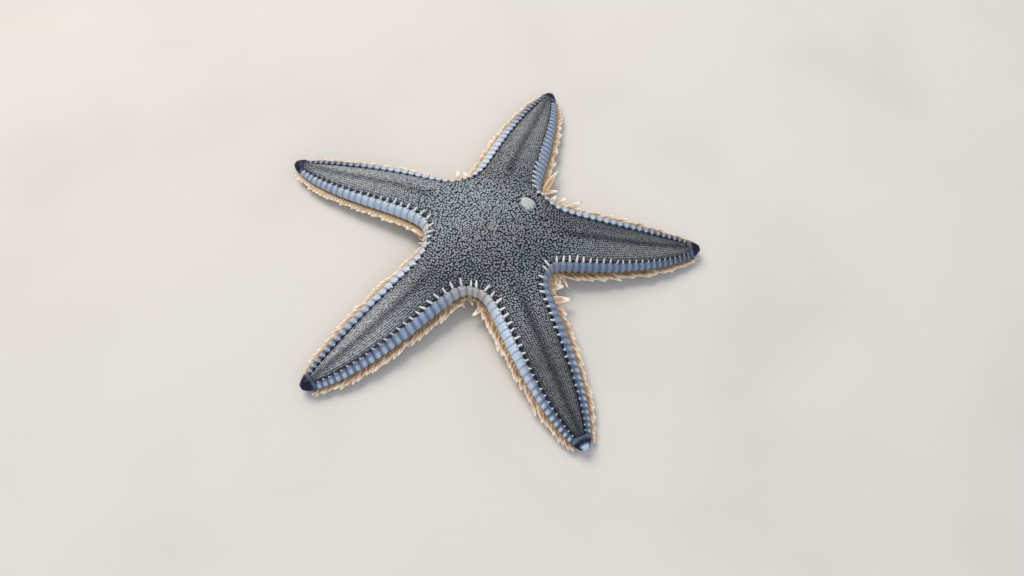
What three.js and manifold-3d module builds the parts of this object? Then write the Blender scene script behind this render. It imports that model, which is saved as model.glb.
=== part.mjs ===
// Sand star (Astropecten) at life size, lying on its mouth side. Millimetres, +Z up.
// The origin is the middle of the box round the whole star, on the level that it lies on.
// Each arm has flesh with an open groove below it, a row of upper and a row of lower border
// plates on both sides, and an end plate. The disc carries the mouth frame and the sieve plate.

import * as THREE from 'three';
import { mergeVertices } from 'three/addons/utils/BufferGeometryUtils.js';
import Module from 'manifold-3d';

const wasm = await Module();
wasm.setup();

// Arms, clockwise. The heading is in degrees from +X, the length runs from the mouth to the tip,
// halfWidth is the widest, a higher fullness keeps the width for longer, and sway bends the
// middle line to the left of its heading. narrowRight is the share of their usual width that the
// upper plates on the right side have.
const ARMS = [
  { name: 'a', heading: 76.8, length: 31.55, halfWidth: 5.45, fullness: 2.4, sway: [4.6, -3.3] },
  {
    name: 'b', heading: 5.5, length: 33.35, halfWidth: 5.6, fullness: 2.2, sway: [1.5, -6.5],
    narrowRight: 0.66,
  },
  { name: 'c', heading: -61.1, length: 35.3, halfWidth: 4.85, fullness: 3.2, sway: [0.5, -1.2] },
  { name: 'd', heading: -131.8, length: 35.8, halfWidth: 4.55, fullness: 3.2, sway: [-2.5, 6.3] },
  { name: 'e', heading: 162.5, length: 34.8, halfWidth: 4.35, fullness: 3.2, sway: [-13.6, 15.2] },
];

// Arcs between one arm and the next, clockwise: heading and distance of the inmost point.
const ARCS = [
  { heading: 48.5, reach: 11.4 },
  { heading: -28.3, reach: 11.25 },
  { heading: -98.1, reach: 10.5 },
  { heading: -169.5, reach: 10.3 },
  { heading: 121.5, reach: 11.1 },
];
const ARC_ROUNDNESS = 3;

// Body
const TAPER_POWER = 0.62;
const DISC_HEIGHT = 6.8;
const TIP_HEIGHT = 1.9;
const HEIGHT_POWER = 0.8;
const BRIM_SHARE = 0.8;
const AMBITUS_SHARE = 0.55;
const CROWN_POWER = 2.2;
const ARM_START = 9.5;
const FLESH_UNDERSIDE = 0.35;
const GAP = 0.3;

// How finely the flesh is divided
const ARM_STATIONS = 9;
const DOME_RINGS = [0, 0.35, 0.7, 1];
const UNDERSIDE_RINGS = [1, 0.7];
const ROOT_COLUMNS = [-1, -0.35, 0, 0.35];
const ARC_STEPS = 3;

// Groove under each arm
const GROOVE_HALF_WIDTH = 1.1;
const GROOVE_WIDEST_SHARE = 0.7;
const GROOVE_ROOF_SHARE = 0.45;
const GROOVE_DEPTH_SHARE = 0.5;

// Border plates
const PLATES_PER_ROW = 24;
const ARC_CROWDING = 0.42;
const ARC_CROWDING_SHARE = 0.09;
const TIP_CROWDING = 0.32;
const REFERENCE_HALF_WIDTH = 4.5;
const UPPER_PLATE_WIDTH = 1.45;
const ARC_NARROWING = 0.45;
const ARC_NARROWING_REACH = 3.2;
const UPPER_PLATE_BULGE = 0.12;
const SHOULDER_ASIDE_SHARE = 0.35;
const SHOULDER_HEIGHT_SHARE = 0.85;
const UPPER_SPINE_LENGTH = 0.5;
const LOWER_PLATE_WIDTH = 2;
const LOWER_PLATE_SLOPE = 0.75;
const FRINGE_REACH = 1.1;
const FRINGE_DROP = 0.6;
const FRINGE_THICKNESS = 0.5;
const FRINGE_NOTCH = 0.75;
const CORNER_EXTRA = 0.7;
const CORNER_LENGTH = 3;

// Ends of the arms
const TIP_LENGTH = 1.6;
const TIP_END_HALF_WIDTH = 0.55;
const TIP_UNDERSIDE = 0.45;
const TIP_END_UNDERSIDE = 0.9;
const TIP_CREST_SHARE = 0.65;
const ROW_END = TIP_LENGTH + GAP;
const FLESH_END = ROW_END + 0.5;

// Mouth frame and sieve plate
const MOUTH_RADIUS = 1.3;
const FRAME_RADIUS = 3;
const FRAME_HEIGHT = 1.3;
const FRAME_ARCH = 0.7;
const FRAME_HEADING = 47;
const JAW_LENGTH = 0.6;
const JAW_SPACING = 4;
const MOUTH_HOLLOW_RADIUS = 3.5;
const MOUTH_HOLLOW_HEIGHT = 1.9;
const SIEVE_HEADING = 49.5;
const SIEVE_DISTANCE = 7.7;
const SIEVE_RADII = [1.2, 1.05, 0.5];
const SIEVE_LEVEL = 5.1;
const SIEVE_LEAN = 15;

// Working values
const WELD = 1e-4;
const HALVINGS = 40;
const ARC_SEARCH = [0.02, 0.6];
const SHORT_STEP = 0.01;

const direction = (degrees) => {
  const angle = THREE.MathUtils.degToRad(degrees);
  return new THREE.Vector3(Math.cos(angle), Math.sin(angle), 0);
};

const leftOf = (vector) => new THREE.Vector3(-vector.y, vector.x, 0);

// Finds where a falling or rising function crosses zero.
function crossing(f, low, high) {
  const startsPositive = f(low) > 0;
  for (let step = 0; step < HALVINGS; step += 1) {
    const middle = (low + high) / 2;
    if ((f(middle) > 0) === startsPositive) {
      low = middle;
    } else {
      high = middle;
    }
  }
  return (low + high) / 2;
}

// Middle line of an arm, from the mouth (0) to the tip (1).
class ArmLine extends THREE.Curve {
  constructor(arm) {
    super();
    this.arm = arm;
    this.along = direction(arm.heading);
    this.aside = leftOf(this.along);
  }

  getPoint(t, target = new THREE.Vector3()) {
    const [base, drift] = this.arm.sway;
    const offset = t * (1 - t) * (base + drift * t);
    target.set(0, 0, 0).addScaledVector(this.along, t * this.arm.length);
    return target.addScaledVector(this.aside, offset);
  }
}

// Half width and heights of an arm at a share of its length.
function sizesAt(arm, t) {
  const halfWidth = arm.halfWidth * (1 - t ** arm.fullness) ** TAPER_POWER;
  const height = TIP_HEIGHT + (DISC_HEIGHT - TIP_HEIGHT) * (1 - t) ** HEIGHT_POWER;
  const scale = Math.sqrt(halfWidth / REFERENCE_HALF_WIDTH);
  return { halfWidth, height, scale, brim: height * BRIM_SHARE, ambitus: height * AMBITUS_SHARE };
}

// Outer edge of the upper plates on one side of an arm, from the arc to the end plate.
class Margin extends THREE.Curve {
  constructor(arm, side, arc) {
    super();
    this.line = new ArmLine(arm);
    this.arm = arm;
    this.side = side;
    this.outOfArc = direction(arc.heading);
    const across = leftOf(this.outOfArc);
    this.start = crossing((t) => this.sidePoint(t).dot(across), ...ARC_SEARCH);
    this.end = 1 - ROW_END / arm.length;
    const sharpCorner = this.sidePoint(this.start);
    this.rounding = arc.reach - sharpCorner.length();
    const onward = this.sidePoint(this.start + SHORT_STEP).sub(sharpCorner).normalize();
    this.slope = onward.dot(this.outOfArc);
  }

  sidePoint(t) {
    const outward = leftOf(this.line.getTangent(t)).multiplyScalar(this.side);
    return this.line.getPoint(t).addScaledVector(outward, sizesAt(this.arm, t).halfWidth);
  }

  fraction(u) {
    return THREE.MathUtils.lerp(this.start, this.end, u);
  }

  getPoint(u, target = new THREE.Vector3()) {
    const t = this.fraction(u);
    const run = (t - this.start) * this.arm.length * this.slope;
    const powers = this.rounding ** ARC_ROUNDNESS + Math.abs(run) ** ARC_ROUNDNESS;
    const push = powers ** (1 / ARC_ROUNDNESS) - run;
    return target.copy(this.sidePoint(t)).addScaledVector(this.outOfArc, push);
  }

  // Widths of the upper and the lower plates. The upper ones are narrower in the arc.
  plateWidths(t, scale) {
    const run = (t - this.start) * this.arm.length;
    const narrowed = 1 - ARC_NARROWING * Math.exp(-((run / ARC_NARROWING_REACH) ** 2));
    const row = this.side < 0 ? this.arm.narrowRight ?? 1 : 1;
    return { upper: UPPER_PLATE_WIDTH * scale * Math.min(narrowed, row), lower: LOWER_PLATE_WIDTH * scale };
  }

  // Place, outward direction and sizes at a curve parameter.
  station(u) {
    const point = this.getPoint(u);
    const outward = leftOf(this.getTangent(u)).multiplyScalar(this.side);
    const sizes = sizesAt(this.arm, this.fraction(u));
    return { point, outward, ...sizes, widths: this.plateWidths(this.fraction(u), sizes.scale) };
  }

  stationAlong(share) {
    return this.station(this.getUtoTmapping(share));
  }

  // Point of the flesh beside the plates, at a distance along the arm.
  fleshEdge(distance, row) {
    const u = (distance / this.arm.length - this.start) / (this.end - this.start);
    const { point, outward, widths } = this.station(Math.max(u, 0));
    return point.addScaledVector(outward, -widths[row] - GAP);
  }
}

// Drops flat triangles and turns the faces round where a mapping has mirrored them.
function facingOut(geometry) {
  const { position } = geometry.attributes;
  const { index } = geometry;
  const corners = [0, 1, 2].map(() => new THREE.Vector3());
  const kept = [];
  let volume = 0;
  for (let i = 0; i < index.count; i += 3) {
    const triangle = [index.getX(i), index.getX(i + 1), index.getX(i + 2)];
    if (new Set(triangle).size === 3) {
      triangle.forEach((vertex, k) => corners[k].fromBufferAttribute(position, vertex));
      volume += corners[0].dot(corners[1].clone().cross(corners[2]));
      kept.push(triangle);
    }
  }
  const turned = volume < 0 ? kept.map(([a, b, c]) => [a, c, b]) : kept;
  geometry.setIndex(turned.flat());
  return geometry;
}

// Moves the vertices of a closed three.js geometry and merges its seams.
function reshaped(geometry, place) {
  const { position, uv } = geometry.attributes;
  for (let i = 0; i < position.count; i += 1) {
    const vertex = new THREE.Vector3().fromBufferAttribute(position, i);
    const moved = place(vertex, uv.getX(i), uv.getY(i));
    position.setXYZ(i, moved.x, moved.y, moved.z);
  }
  geometry.deleteAttribute('normal');
  geometry.deleteAttribute('uv');
  return facingOut(mergeVertices(geometry, WELD));
}

// Closed bar whose section changes along it. section(share) gives the corners at a share of the
// bar's length, each in the plane of the outward direction and +Z.
function lofted(corners, rings, section) {
  const geometry = new THREE.CylinderGeometry(1, 1, 1, corners, rings);
  return reshaped(geometry, (vertex) => {
    const outline = section(vertex.y + 0.5);
    if (Math.hypot(vertex.x, vertex.z) < 0.5) {
      return outline.reduce((sum, each) => sum.add(each), new THREE.Vector3()).divideScalar(corners);
    }
    const turn = Math.round((Math.atan2(vertex.x, vertex.z) / (2 * Math.PI)) * corners);
    return outline[(turn + corners) % corners];
  });
}

// Cuts a closed tool out of a closed geometry.
function subtracted(geometry, tool) {
  const [body, cutter] = [geometry, tool].map((each) => {
    const vertProperties = new Float32Array(each.attributes.position.array);
    const triVerts = new Uint32Array(each.index.array);
    return new wasm.Manifold(new wasm.Mesh({ numProp: 3, vertProperties, triVerts }));
  });
  const { vertProperties, triVerts } = body.subtract(cutter).getMesh();
  const result = new THREE.BufferGeometry();
  result.setAttribute('position', new THREE.BufferAttribute(vertProperties, 3));
  result.setIndex(new THREE.BufferAttribute(triVerts, 1));
  return result;
}

// Corner of a section: a distance outward from the margin and a height.
const corner = (station, outward, height) =>
  station.point.clone().addScaledVector(station.outward, outward).setZ(height);

// Shares of a row's length at which its plates begin: they crowd together in the arc and at the tip.
const crowded = (share) => {
  const nearArc = 1 - Math.exp(-share / ARC_CROWDING_SHARE);
  return share - ARC_CROWDING * ARC_CROWDING_SHARE * nearArc - (TIP_CROWDING / 4) * share ** 4;
};
const plateShare = (count) => crowded(count / PLATES_PER_ROW) / crowded(1);

// The two rows that meet at an arc stop short of each other by the gap.
const rowShare = (margin, share) => {
  const first = GAP / 2 / margin.getLength();
  return first + (1 - first) * share;
};

// Row of upper border plates, each one bulging, with the stub of its spine on the inner edge.
function upperPlates(margin) {
  const rings = 2 * PLATES_PER_ROW;
  return lofted(4, rings, (along) => {
    const ring = Math.round(along * rings);
    const bulge = ring % 2 ? 1 : 0;
    const station = margin.stationAlong(rowShare(margin, plateShare(ring / 2)));
    const { scale, brim, ambitus } = station;
    const width = station.widths.upper;
    const swell = UPPER_PLATE_BULGE * bulge * scale;
    const shoulder = THREE.MathUtils.lerp(ambitus, brim, SHOULDER_HEIGHT_SHARE);
    return [
      corner(station, swell, ambitus + GAP / 2),
      corner(station, swell - SHOULDER_ASIDE_SHARE * width, shoulder + swell),
      corner(station, -width, brim + UPPER_SPINE_LENGTH * bulge * scale),
      corner(station, -width, ambitus + GAP / 2),
    ];
  });
}

// How much longer the fringe is near the arc.
const cornerGain = (margin, share) =>
  1 + CORNER_EXTRA * Math.exp(-(((share * margin.getLength()) / CORNER_LENGTH) ** 2));

// Row of lower border plates with a flat underside and the toothed fringe of spines.
function lowerPlates(margin) {
  return lofted(6, PLATES_PER_ROW, (along) => {
    const ring = Math.round(along * PLATES_PER_ROW);
    const share = rowShare(margin, plateShare(ring));
    const station = margin.stationAlong(share);
    const { scale, ambitus, widths } = station;
    const tooth = ring % 2 ? 1 : FRINGE_NOTCH;
    const reach = FRINGE_REACH * scale * tooth * cornerGain(margin, share);
    const top = ambitus - GAP / 2;
    const edge = top - FRINGE_DROP * scale;
    return [
      corner(station, 0, top),
      corner(station, -widths.upper, top),
      corner(station, -widths.lower, 0),
      corner(station, -LOWER_PLATE_SLOPE * scale, 0),
      corner(station, reach, edge - FRINGE_THICKNESS),
      corner(station, reach, edge),
    ];
  });
}

// Height of the upper side between the two plate rows, at a share of the half width.
const crownHeight = (sizes, across) => {
  const drop = 1 - BRIM_SHARE;
  return sizes.height * (1 - drop * Math.abs(across) ** CROWN_POWER);
};

// Height of the groove's roof below a body of the given height.
const grooveRoof = (height) => FLESH_UNDERSIDE + GROOVE_DEPTH_SHARE * height;

// Flesh of an arm between its plate rows, with the groove below.
function armFlesh(arm, left, right) {
  const columns = 6;
  const geometry = new THREE.BoxGeometry(1, 1, 1, ARM_STATIONS, columns, 1);
  return reshaped(geometry, (vertex) => {
    const distance = THREE.MathUtils.lerp(ARM_START, arm.length - FLESH_END, vertex.x + 0.5);
    const t = distance / arm.length;
    const sizes = sizesAt(arm, t);
    const upper = vertex.z > 0;
    const edges = [right, left].map((margin) => margin.fleshEdge(distance, upper ? 'upper' : 'lower'));
    const half = edges[0].distanceTo(edges[1]) / 2;
    const column = Math.round(vertex.y * columns);
    const groove = Math.min(GROOVE_HALF_WIDTH * sizes.scale, GROOVE_WIDEST_SHARE * half);
    const steps = [0, (GROOVE_ROOF_SHARE * groove) / half, groove / half, 1];
    const across = Math.sign(column) * steps[Math.abs(column)];
    const point = edges[0].lerp(edges[1], (across + 1) / 2);
    if (upper) {
      return point.setZ(crownHeight(sizes, across));
    }
    return point.setZ(Math.abs(column) < 2 ? grooveRoof(sizes.height) : FLESH_UNDERSIDE);
  });
}

// Outline of the disc, clockwise from the left edge of one arm's root: across each root, then
// round the arc to the next one. A point on a root's middle line lies over a groove.
function discOutline(sides, row) {
  const end = ARM_START - GAP;
  return ARMS.flatMap((arm, i) => {
    const { left, right } = sides[i];
    const next = sides[(i + 1) % ARMS.length].left;
    const [from, to] = [left, right].map((margin) => margin.fleshEdge(end, row));
    const root = ROOT_COLUMNS.map((across) => ({
      point: from.clone().lerp(to, (across + 1) / 2),
      height: crownHeight(sizesAt(arm, end / arm.length), across),
      overGroove: across === 0,
    }));
    const arcPoint = (margin, share) => {
      const distance = THREE.MathUtils.lerp(end, margin.start * margin.arm.length, share);
      const height = sizesAt(margin.arm, distance / margin.arm.length).brim;
      return { point: margin.fleshEdge(distance, row), height, overGroove: false };
    };
    const steps = Array.from({ length: ARC_STEPS }, (_, k) => k / ARC_STEPS);
    return [
      ...root,
      ...steps.map((share) => arcPoint(right, share)),
      ...steps.map((share) => arcPoint(next, 1 - share)),
    ];
  });
}

// The disc: a low dome above, and below it the mouth hollow with a groove to each arm.
function disc(sides) {
  const upperOutline = discOutline(sides, 'upper');
  const lowerOutline = discOutline(sides, 'lower');
  const around = upperOutline.length;
  const dome = (share) => (index) => {
    const { point, height } = upperOutline[index];
    return point.clone().multiplyScalar(share).setZ(THREE.MathUtils.lerp(DISC_HEIGHT, height, share ** 2));
  };
  const underside = (share) => (index) => {
    const { point, height, overGroove } = lowerOutline[index];
    const roof = THREE.MathUtils.lerp(MOUTH_HOLLOW_HEIGHT, grooveRoof(height), share);
    return point.clone().multiplyScalar(share).setZ(overGroove ? roof : FLESH_UNDERSIDE);
  };
  const hollow = (radius, level) => (index) => {
    const { point, overGroove } = lowerOutline[index];
    return point.clone().setLength(radius).setZ(overGroove ? MOUTH_HOLLOW_HEIGHT : level);
  };
  const rings = [
    ...DOME_RINGS.map(dome),
    ...UNDERSIDE_RINGS.map(underside),
    hollow(MOUTH_HOLLOW_RADIUS, FLESH_UNDERSIDE),
    hollow(MOUTH_HOLLOW_RADIUS, MOUTH_HOLLOW_HEIGHT),
    hollow(0, MOUTH_HOLLOW_HEIGHT),
  ];
  const last = rings.length - 1;
  const profile = rings.map((ring, i) => new THREE.Vector2(i % last ? 1 : 0, -i));
  const geometry = new THREE.LatheGeometry(profile, around);
  return reshaped(geometry, (vertex, u, v) => rings[Math.round(v * last)](Math.round(u * around) % around));
}

// Ring of five jaws round the mouth. It arches over the grooves between its flat feet.
function mouthFrame() {
  const corners = [
    { inner: true, level: 0 }, { inner: false, level: 0 },
    { inner: false, level: FRAME_HEIGHT }, { inner: true, level: FRAME_HEIGHT },
  ];
  const profile = [...corners, corners[0]].map(({ inner, level }) => new THREE.Vector2(inner ? 1 : 2, level));
  const around = ARMS.length * JAW_SPACING;
  const geometry = new THREE.LatheGeometry(profile, around);
  return reshaped(geometry, (vertex, u, v) => {
    const index = Math.round(u * around) % around;
    const { inner, level } = corners[Math.round(v * corners.length) % corners.length];
    const fromJaw = index % JAW_SPACING;
    const jawTip = MOUTH_RADIUS - (fromJaw === 0 ? JAW_LENGTH : 0);
    const arched = fromJaw === JAW_SPACING / 2;
    const heading = FRAME_HEADING + (360 * index) / around;
    const point = direction(heading).multiplyScalar(inner ? jawTip : FRAME_RADIUS);
    return point.setZ(level || (arched ? FRAME_ARCH : 0));
  });
}

// Sieve plate: a flat oval button that leans with the disc. A margin makes it bigger all round.
function sievePlate(margin) {
  const place = direction(SIEVE_HEADING).multiplyScalar(SIEVE_DISTANCE).setZ(SIEVE_LEVEL);
  const radii = new THREE.Vector3(...SIEVE_RADII).addScalar(margin);
  const [lean, heading] = [SIEVE_LEAN, SIEVE_HEADING].map(THREE.MathUtils.degToRad);
  const turn = new THREE.Euler(0, lean, heading, 'ZYX');
  const geometry = new THREE.SphereGeometry(1, 12, 6);
  return reshaped(geometry, (vertex) => vertex.multiply(radii).applyEuler(turn).add(place));
}

// Blunt end plate that carries on the arm's own outline to its tip.
function tipPlate(arm) {
  const line = new ArmLine(arm);
  return lofted(6, 4, (share) => {
    const t = 1 - (TIP_LENGTH * (1 - share)) / arm.length;
    const sizes = sizesAt(arm, t);
    const half = Math.max(sizes.halfWidth, TIP_END_HALF_WIDTH);
    const crest = TIP_CREST_SHARE * half;
    const station = { point: line.getPoint(t), outward: leftOf(line.getTangent(t)) };
    const underside = THREE.MathUtils.lerp(TIP_UNDERSIDE, TIP_END_UNDERSIDE, share ** 2);
    const shoulder = THREE.MathUtils.lerp(underside, sizes.height, AMBITUS_SHARE);
    return [
      corner(station, half, shoulder),
      corner(station, crest, sizes.height),
      corner(station, -crest, sizes.height),
      corner(station, -half, shoulder),
      corner(station, -crest, underside),
      corner(station, crest, underside),
    ];
  });
}

const FINISHES = {
  flesh: { color: 0x5b636c, roughness: 0.6, metalness: 0 },
  upperPlates: { color: 0x7f97bd, roughness: 0.45, metalness: 0 },
  lowerPlates: { color: 0xdba66c, roughness: 0.5, metalness: 0 },
  tips: { color: 0x1b2342, roughness: 0.35, metalness: 0 },
  mouth: { color: 0xd9c6a4, roughness: 0.6, metalness: 0 },
  sieve: { color: 0xc6cdc6, roughness: 0.6, metalness: 0 },
};

const star = new THREE.Group();

function add(name, geometry, finish) {
  const mesh = new THREE.Mesh(geometry, new THREE.MeshStandardMaterial(FINISHES[finish]));
  mesh.name = name;
  star.add(mesh);
}

const sides = ARMS.map((arm, i) => ({
  left: new Margin(arm, 1, ARCS[(i + ARCS.length - 1) % ARCS.length]),
  right: new Margin(arm, -1, ARCS[i]),
}));

add('disc', subtracted(disc(sides), sievePlate(GAP)), 'flesh');
add('mouth_frame', mouthFrame(), 'mouth');
add('sieve_plate', sievePlate(0), 'sieve');
ARMS.forEach((arm, i) => {
  const { left, right } = sides[i];
  add(`arm_${arm.name}`, armFlesh(arm, left, right), 'flesh');
  add(`tip_plate_${arm.name}`, tipPlate(arm), 'tips');
  Object.entries({ left, right }).forEach(([side, margin]) => {
    add(`upper_plates_${arm.name}_${side}`, upperPlates(margin), 'upperPlates');
    add(`lower_plates_${arm.name}_${side}`, lowerPlates(margin), 'lowerPlates');
  });
});

const middle = new THREE.Box3().setFromObject(star).getCenter(new THREE.Vector3());
star.position.set(-middle.x, -middle.y, 0);

export default star;
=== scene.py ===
"""Life-size still model of a living sand star (Astropecten), lying on its mouth side.

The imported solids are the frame. The disc's centre comes from the mouth frame's box, and the arms'
middle lines, widths, heights and plate rows repeat the solids' own formulas, in millimetres round
that centre. One skin covers the body, the knobs (paxillae) stand on it, and the border plates,
spines, fringe, end plates, sieve plate, mouth and tube feet are pieces of their own.
"""

import logging
import math
from collections.abc import Callable, Sequence
from dataclasses import dataclass, field
from enum import Enum
from itertools import product

import bmesh
import bpy
import numpy as np
from mathutils import Matrix, Vector
from mathutils.bvhtree import BVHTree
from mathutils.kdtree import KDTree
from numpy.typing import ArrayLike


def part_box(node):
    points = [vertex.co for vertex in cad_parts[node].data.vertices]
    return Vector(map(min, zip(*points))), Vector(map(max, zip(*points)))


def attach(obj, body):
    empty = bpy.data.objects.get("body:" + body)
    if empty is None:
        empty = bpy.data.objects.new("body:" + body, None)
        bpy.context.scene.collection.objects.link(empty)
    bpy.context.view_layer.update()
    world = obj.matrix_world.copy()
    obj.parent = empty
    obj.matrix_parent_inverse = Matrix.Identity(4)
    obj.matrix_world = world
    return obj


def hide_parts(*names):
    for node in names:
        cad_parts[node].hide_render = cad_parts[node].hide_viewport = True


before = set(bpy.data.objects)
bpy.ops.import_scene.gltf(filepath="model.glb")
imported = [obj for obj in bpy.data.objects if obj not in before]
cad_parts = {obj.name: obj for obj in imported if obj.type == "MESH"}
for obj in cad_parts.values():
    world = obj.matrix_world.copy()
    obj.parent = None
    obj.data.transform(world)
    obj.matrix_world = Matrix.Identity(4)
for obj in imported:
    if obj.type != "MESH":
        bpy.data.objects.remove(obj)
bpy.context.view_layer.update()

logging.basicConfig(level=logging.INFO, format="%(message)s")
log = logging.getLogger("sand_star")

Array = np.ndarray
Socket = bpy.types.NodeSocket
Tree = bpy.types.NodeTree
Material = bpy.types.Material
MM = 0.001
BODY = "root"
UP = np.array([0.0, 0.0, 1.0])


# ---------------- small helpers


def heading_vector(degrees: float) -> Array:
    """Unit plan vector at a heading from +X."""
    return np.array([math.cos(math.radians(degrees)), math.sin(math.radians(degrees))])


def left_of(vectors: Array) -> Array:
    """Plan vectors turned a quarter turn to the left."""
    return np.stack([-vectors[..., 1], vectors[..., 0]], axis=-1)


def unit(vectors: Array) -> Array:
    """Vectors scaled to length one."""
    return vectors / np.linalg.norm(vectors, axis=-1, keepdims=True)


def blend(a: Array | float, b: Array | float, share: Array | float) -> Array | float:
    """Straight mix of a and b."""
    return a + (b - a) * share


def ease(low: float, high: float, x: Array | float) -> Array | float:
    """Smooth step from 0 at low to 1 at high."""
    share = np.clip((x - low) / (high - low), 0.0, 1.0)
    return share * share * (3 - 2 * share)


def bell(x: Array | float, width: Array | float) -> Array | float:
    """Bell curve of the given half width round zero."""
    return np.exp(-((x / width) ** 2))


def upright(plan: Array, height: Array | float) -> Array:
    """Plan points with one height for all, or one for each, as points in space."""
    return np.concatenate([plan, np.broadcast_to(height, plan.shape[:-1])[..., None]], axis=-1)


def columns(*each: Array | float) -> Array:
    """Numbers side by side, one row for each copy. A single number counts for all."""
    return np.stack(np.broadcast_arrays(*each), axis=-1)


def axes_along(direction: Array, hint: Array) -> Array:
    """Right-handed axes whose third axis is a direction.

    Args:
        direction: Unit vectors, one row each.
        hint: Vectors that the first axis lies nearest to.

    Returns:
        One 3 by 3 block for each direction, with an axis in each row.
    """
    sideways = hint - direction * np.sum(hint * direction, axis=-1, keepdims=True)
    first = unit(sideways)
    return np.stack([first, np.cross(direction, first), direction], axis=-2)


def ray_angles(angles: Array) -> Array:
    """Unit plan vectors at angles in radians from +X."""
    return np.stack([np.cos(angles), np.sin(angles)], axis=-1)


def plan_tree(plan: Array) -> KDTree:
    """Search tree of plan points.

    Args:
        plan: Plan points, one row each.

    Returns:
        The tree, which numbers the points from 0.
    """
    tree = KDTree(len(plan))
    for number, (x, y) in enumerate(plan.tolist()):
        tree.insert((x, y, 0), number)
    tree.balance()
    return tree


def inside_outline(plan: Array, outline: Array) -> Array:
    """Which plan points lie inside a closed outline.

    Args:
        plan: Plan points, one row each.
        outline: The outline's points in order.

    Returns:
        True for each point inside.
    """
    x, y = plan[:, 0, None], plan[:, 1, None]
    ends = np.roll(outline, -1, axis=0)
    spans = (outline[:, 1] > y) != (ends[:, 1] > y)
    rise = np.where(ends[:, 1] == outline[:, 1], 1e-9, ends[:, 1] - outline[:, 1])
    crossing = outline[:, 0] + (y - outline[:, 1]) * (ends[:, 0] - outline[:, 0]) / rise
    return np.sum(spans & (x < crossing), axis=1) % 2 == 1


# ---------------- the animal's form


class Side(Enum):
    """Side of an arm, seen from the mouth towards the tip."""

    LEFT = 1
    RIGHT = -1


@dataclass(frozen=True)
class BodyForm:
    """Heights, widths and shares that all arms have in common, in millimetres."""

    disc_height: float = 6.8
    tip_height: float = 1.9
    height_power: float = 0.8
    taper_power: float = 0.62
    brim_share: float = 0.8
    ambitus_share: float = 0.55
    crown_power: float = 2.2
    reference_half_width: float = 4.5
    upper_plate_width: float = 1.45
    lower_plate_width: float = 2.0
    lower_plate_slope: float = 0.75
    underside: float = 0.35
    groove_half_width: float = 1.1
    groove_slim_share: float = 0.5
    groove_roof_share: float = 0.4
    groove_edge_width: float = 0.3
    mouth_hollow_radius: float = 3.5
    mouth_hollow_height: float = 1.9
    plates_per_row: int = 24
    arc_crowding: float = 0.42
    arc_crowding_share: float = 0.09
    tip_crowding: float = 0.32
    arc_narrowing: float = 0.45
    arc_narrowing_reach: float = 3.2
    # Reach and core of the painted contact shadow beside the border plates, and place and size of the pits,
    # which hold painted shadow between the spines' feet.
    contact_width: float = 0.75
    contact_core: float = 0.12
    pit_inset: float = 0.16
    pit_radius: float = 0.4
    gap: float = 0.3
    tip_length: float = 1.6
    tip_end_half_width: float = 0.55
    arc_roundness: float = 3.0

    def groove_width(self, scale: Array) -> Array:
        """Half width of the groove under an arm where its plates have a size."""
        slim = self.groove_slim_share
        return np.minimum(self.groove_half_width * scale, slim * scale + slim)


FORM = BodyForm()


@dataclass(frozen=True)
class Arm:
    """One arm: heading from +X, length, widest half width, fullness and sway of its middle line.

    The ridge is how dark the stripe along the arm's crest is, and the light tip is how much
    paler (or, below 0, darker) the outer half of the arm is. The light end is 1 where the end
    plate's point is pale, and cap is the length of its dark point. Narrow right is the share to
    which the right row's upper plates are narrowed. Tone is how light the arm is, and left dusk
    how much darker its left half.
    """

    name: str
    heading: float
    length: float
    half_width: float
    fullness: float
    sway: tuple[float, float]
    ridge: float
    light_tip: float
    light_end: float = 0.0
    narrow_right: float = 1.0
    cap: float = 1.6
    tone: float = 1.0
    left_dusk: float = 0.0

    def line(self, t: Array) -> Array:
        """Plan points of the middle line, from the mouth (0) to the tip (1).

        Args:
            t: Shares of the length.

        Returns:
            The points.
        """
        base, drift = self.sway
        along = heading_vector(self.heading)
        aside = t * (1 - t) * (base + drift * t)
        return np.multiply.outer(t * self.length, along) + np.multiply.outer(aside, left_of(along))

    def random(self, seed: int) -> np.random.Generator:
        """The arm's own random numbers for one kind of piece."""
        return np.random.default_rng(seed + ord(self.name))

    def tangent(self, t: Array) -> Array:
        """Unit plan direction of the middle line towards the tip.

        Args:
            t: Shares of the length.

        Returns:
            The directions.
        """
        base, drift = self.sway
        along = heading_vector(self.heading)
        slope = base * (1 - 2 * t) + drift * (2 * t - 3 * t * t)
        return unit(self.length * along + np.multiply.outer(slope, left_of(along)))

    def half(self, t: Array) -> Array:
        """Half width, out to the upper plates' edge."""
        return self.half_width * (1 - np.clip(t, 0, 1) ** self.fullness) ** FORM.taper_power

    def height(self, t: Array) -> Array:
        """Height of the crest."""
        rise = (1 - np.clip(t, 0, 1)) ** FORM.height_power
        return FORM.tip_height + (FORM.disc_height - FORM.tip_height) * rise

    def scale(self, t: Array) -> Array:
        """Size of plates and spines against those at the reference width."""
        return np.sqrt(self.half(t) / FORM.reference_half_width)

    def nearest(self, points: Array) -> tuple[Array, Array]:
        """Place of plan points against the middle line.

        Args:
            points: Plan points, one row each.

        Returns:
            The share of the length, and the distance to the left of the line.
        """
        t = np.clip(points @ heading_vector(self.heading) / self.length, 0, 1)
        for _ in range(4):
            away = points - self.line(t)
            t = np.clip(t + np.sum(away * self.tangent(t), axis=-1) / self.length, 0, 1)
        away = points - self.line(t)
        return t, np.sum(away * left_of(self.tangent(t)), axis=-1)


@dataclass(frozen=True)
class Spike:
    """One splayed spine in an arc.

    It has the plan place where it comes out from under the plates, a heading, the length from
    there, a half width and how white it is.
    """

    root: tuple[float, float]
    heading: float
    length: float
    width: float
    white: float = 0.0


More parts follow.
